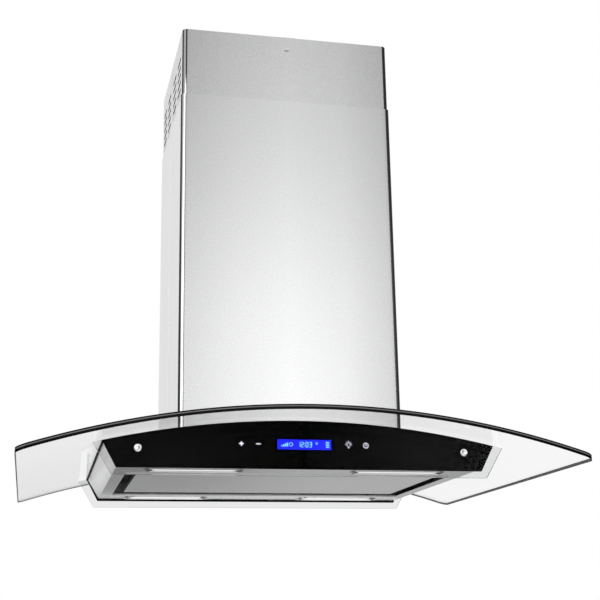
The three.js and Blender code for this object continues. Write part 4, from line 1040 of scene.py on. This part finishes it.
# ---- Lamps -------------------------------------------------------------------------------------
# Long lamps clipped into the flanges from below. Each has a chromed rim, a recessed tray that keeps
# its light out of the body, and a narrower frosted lens along the middle of the tray. The tray is
# painted near black: painted shade in the recess round the lens.
RIM_STAND = 1.2 * MM
RIM_EDGE = 0.35 * MM
TRAY_FIT = 0.1 * MM
TRAY_RECESS = 2.4 * MM
TRAY_EDGE = 0.3 * MM
LENS_SIZE = (136 * MM, 17 * MM, 1.6 * MM)
LENS_SINK = 0.4 * MM
LENS_EDGE = 0.4 * MM


def lamp_pieces(node):
    low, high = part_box(node)
    middle = (low + high) / 2
    length = high.x - low.x
    width = high.y - low.y
    rim_middle = (middle.x, middle.y, low.z + RIM_STAND / 2)
    rim = pill(f"{node}_rim", length, width, RIM_STAND, rim_middle, "Z", 12)
    inset = 2 * LAMP_RIM
    carve(rim, pill("opening", length - inset, width - inset, CUT, rim_middle, "Z", 12))
    inset += 2 * TRAY_FIT
    depth = high.z - low.z - TRAY_RECESS
    tray_middle = (middle.x, middle.y, high.z - depth / 2)
    tray = pill(f"{node}_tray", length - inset, width - inset, depth, tray_middle, "Z", 12)
    lens_middle = (middle.x, middle.y, low.z + TRAY_RECESS - LENS_SINK)
    lens = pill(f"{node}_lens", *LENS_SIZE, lens_middle, "Z", 10)
    return soften(rim, RIM_EDGE), soften(tray, TRAY_EDGE), soften(lens, LENS_EDGE)


# Painted shade: the tray is near black where the recess round the lens lies in shade.
recess_shade_black = matt("lamp tray, black as painted recess shade", (0.015, 0.015, 0.016), 0.4)
frosted_lens = glowing("frosted lamp lens", (0.95, 0.95, 0.93), 0.85)
for lamp in LAMPS:
    rim, tray, lens = lamp_pieces(lamp)
    finish_piece(rim, polished_chrome.owner, "hood", slot="chrome")
    finish_piece(tray, recess_shade_black, "hood", lamp)
    finish_piece(lens, frosted_lens, "hood", slot="lamp_lens")

# ---- Perimeter panel ---------------------------------------------------------------------------
# A folded tray of brushed stainless steel that closes the intake except for an air gap all round.
# It hinges down on two pins at its rear and is held shut by two spring catches in front.
PANEL_LOW, PANEL_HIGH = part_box("perimeter_panel")
PANEL_REAR = -PANEL_LOW.y
PANEL_DEPTH = 9 * MM
PANEL_EDGE = 0.6 * MM
LUG_X = 200 * MM
LUG_WIDTH = 10 * MM
LUG_EYE_RADIUS = 4.2 * MM
LUG_ARM = 5 * MM
LUG_BORE_RADIUS = 2.5 * MM
HINGE_Y = PANEL_REAR + 9 * MM
HINGE_Z = PANEL_LOW.z + 6 * MM


def panel_tray():
    low = PANEL_LOW
    high = Vector((PANEL_HIGH.x, PANEL_REAR, low.z + PANEL_DEPTH))
    sheet = Vector((BODY_SHEET, BODY_SHEET, BODY_SHEET))
    above = Vector((0, 0, BODY_SHEET + CUT))
    inside = block("inside", low + sheet, high - sheet + above)
    return carve(block("intake_panel", low, high), inside)


def panel_lug(side, sign):
    """An eye for the hinge pin, on an arm from the tray's rear wall."""
    x0 = sign * LUG_X - LUG_WIDTH / 2
    x1 = x0 + LUG_WIDTH
    eye = rod(f"intake_panel_lug_{side}", LUG_EYE_RADIUS, (x0, HINGE_Y, HINGE_Z), (x1, HINGE_Y, HINGE_Z))
    arm = block("arm", (x0, PANEL_REAR - BODY_SHEET, HINGE_Z - LUG_ARM / 2),
                (x1, HINGE_Y, HINGE_Z + LUG_ARM / 2))
    add_modifier(eye, "BOOLEAN", object=arm, operation="UNION", solver="EXACT")
    settle(eye)
    bpy.data.objects.remove(arm)
    bore_start = (x0 - CUT, HINGE_Y, HINGE_Z)
    return carve(eye, rod("bore", LUG_BORE_RADIUS, bore_start, (x1 + CUT, HINGE_Y, HINGE_Z)))


# The panel's steel is painted darker than the body's: painted shade.
panel_steel = brushed_steel("brushed steel, intake panel", (0.02, 1, 1), light=0.78)
tray = soften(panel_tray(), PANEL_EDGE, segments=3)
finish_piece(tray, panel_steel, "panel", "perimeter_panel", slot="brushed_steel")
for side, sign in (("left", -1), ("right", 1)):
    finish_piece(smooth(panel_lug(side, sign)), panel_steel, "panel", slot="brushed_steel")

# ---- Hidden sheet metal and fasteners ----------------------------------------------------------
# The ceiling plate, the telescoping legs, the base frame, the motor box and the filter frame are
# cut from zinc-plated steel sheet, which is matt with a faint crystal pattern. Its colour is kept
# dark: painted shade, as these parts sit in the dark inside the hood.


def zinc_sheet():
    zinc = new_finish("zinc plated steel")
    crystal = zinc.node("TexVoronoi", inputs={"Vector": zinc.place(), "Scale": 90.0}, output="Color")
    tone = zinc.node("RGBToBW", inputs={0: crystal})
    fine = zinc.noise(700.0)
    # Painted shade: both tones are far darker than bright zinc.
    dull, bright = (0.3, 0.31, 0.32), (0.46, 0.47, 0.48)
    zinc.set(
        Base_Color=zinc.ramp(tone * 0.6 + fine * 0.4, [(0.1, dull), (0.9, bright)]),
        Metallic=1.0,
        Roughness=tone * 0.2 + 0.36,
        Normal=zinc.bump(fine, 0.15, 0.00005),
    )
    return zinc.owner


CORNERS = [f"{end}_{side}" for side in ("left", "right") for end in ("front", "rear")]
zinc = zinc_sheet()
dress(zinc, "ceiling_plate", "base_frame", "motor_box", "filter_frame", "fan_motor", "motor_bracket")
dress(zinc, "damper_pin", "panel_hinge_pin_left", "panel_hinge_pin_right")
dress(zinc, *(f"upper_leg_{corner}" for corner in CORNERS), *(f"lower_leg_{corner}" for corner in CORNERS))
dress(zinc, *(f"leg_screw_{corner}" for corner in CORNERS))
dress(polished_chrome.owner, "motor_shaft")

# ---- Blower, collar and electrics --------------------------------------------------------------
# The scroll and the collar are moulded in grey plastic, the impeller, the flaps, the catches and
# the supply box in black. The control board stands behind the display.
grey_plastic = matt("grey moulded plastic", (0.2, 0.21, 0.215), 0.5)
black_plastic = matt("black moulded plastic", (0.02, 0.02, 0.021), 0.45)
dress(grey_plastic, "blower_scroll", "outlet_collar", "cable_gland")
dress(black_plastic, "impeller", "damper_flap_front", "damper_flap_rear", "supply_box")
dress(black_plastic, "filter_latch_left", "filter_latch_right", "panel_catch_left", "panel_catch_right")
dress(matt("green circuit board", (0.02, 0.11, 0.05), 0.35), "control_board")

# ---- Grease filters ----------------------------------------------------------------------------
# Two aluminium cassettes with long baffles, held up against the filter frame by sprung latches.
aluminium = new_finish("satin aluminium")
satin = aluminium.noise(500.0, (1, 0.02, 1), detail=3.0)
aluminium.set(
    # Painted shade: the aluminium is kept dark, as the filters sit in the shadow inside the body.
    Base_Color=aluminium.ramp(satin, [(0.3, (0.36, 0.37, 0.38)), (0.7, (0.5, 0.51, 0.52))]),
    Metallic=1.0,
    Roughness=satin * 0.2 + 0.25,
    Normal=aluminium.bump(satin, 0.2, 0.00005),
)
dress(aluminium.owner, "grease_filter_left", "grease_filter_right")

boxes = {"cad": cad_box, "visual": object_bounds()}
{name: [list(corner) for corner in box] for name, box in boxes.items()}
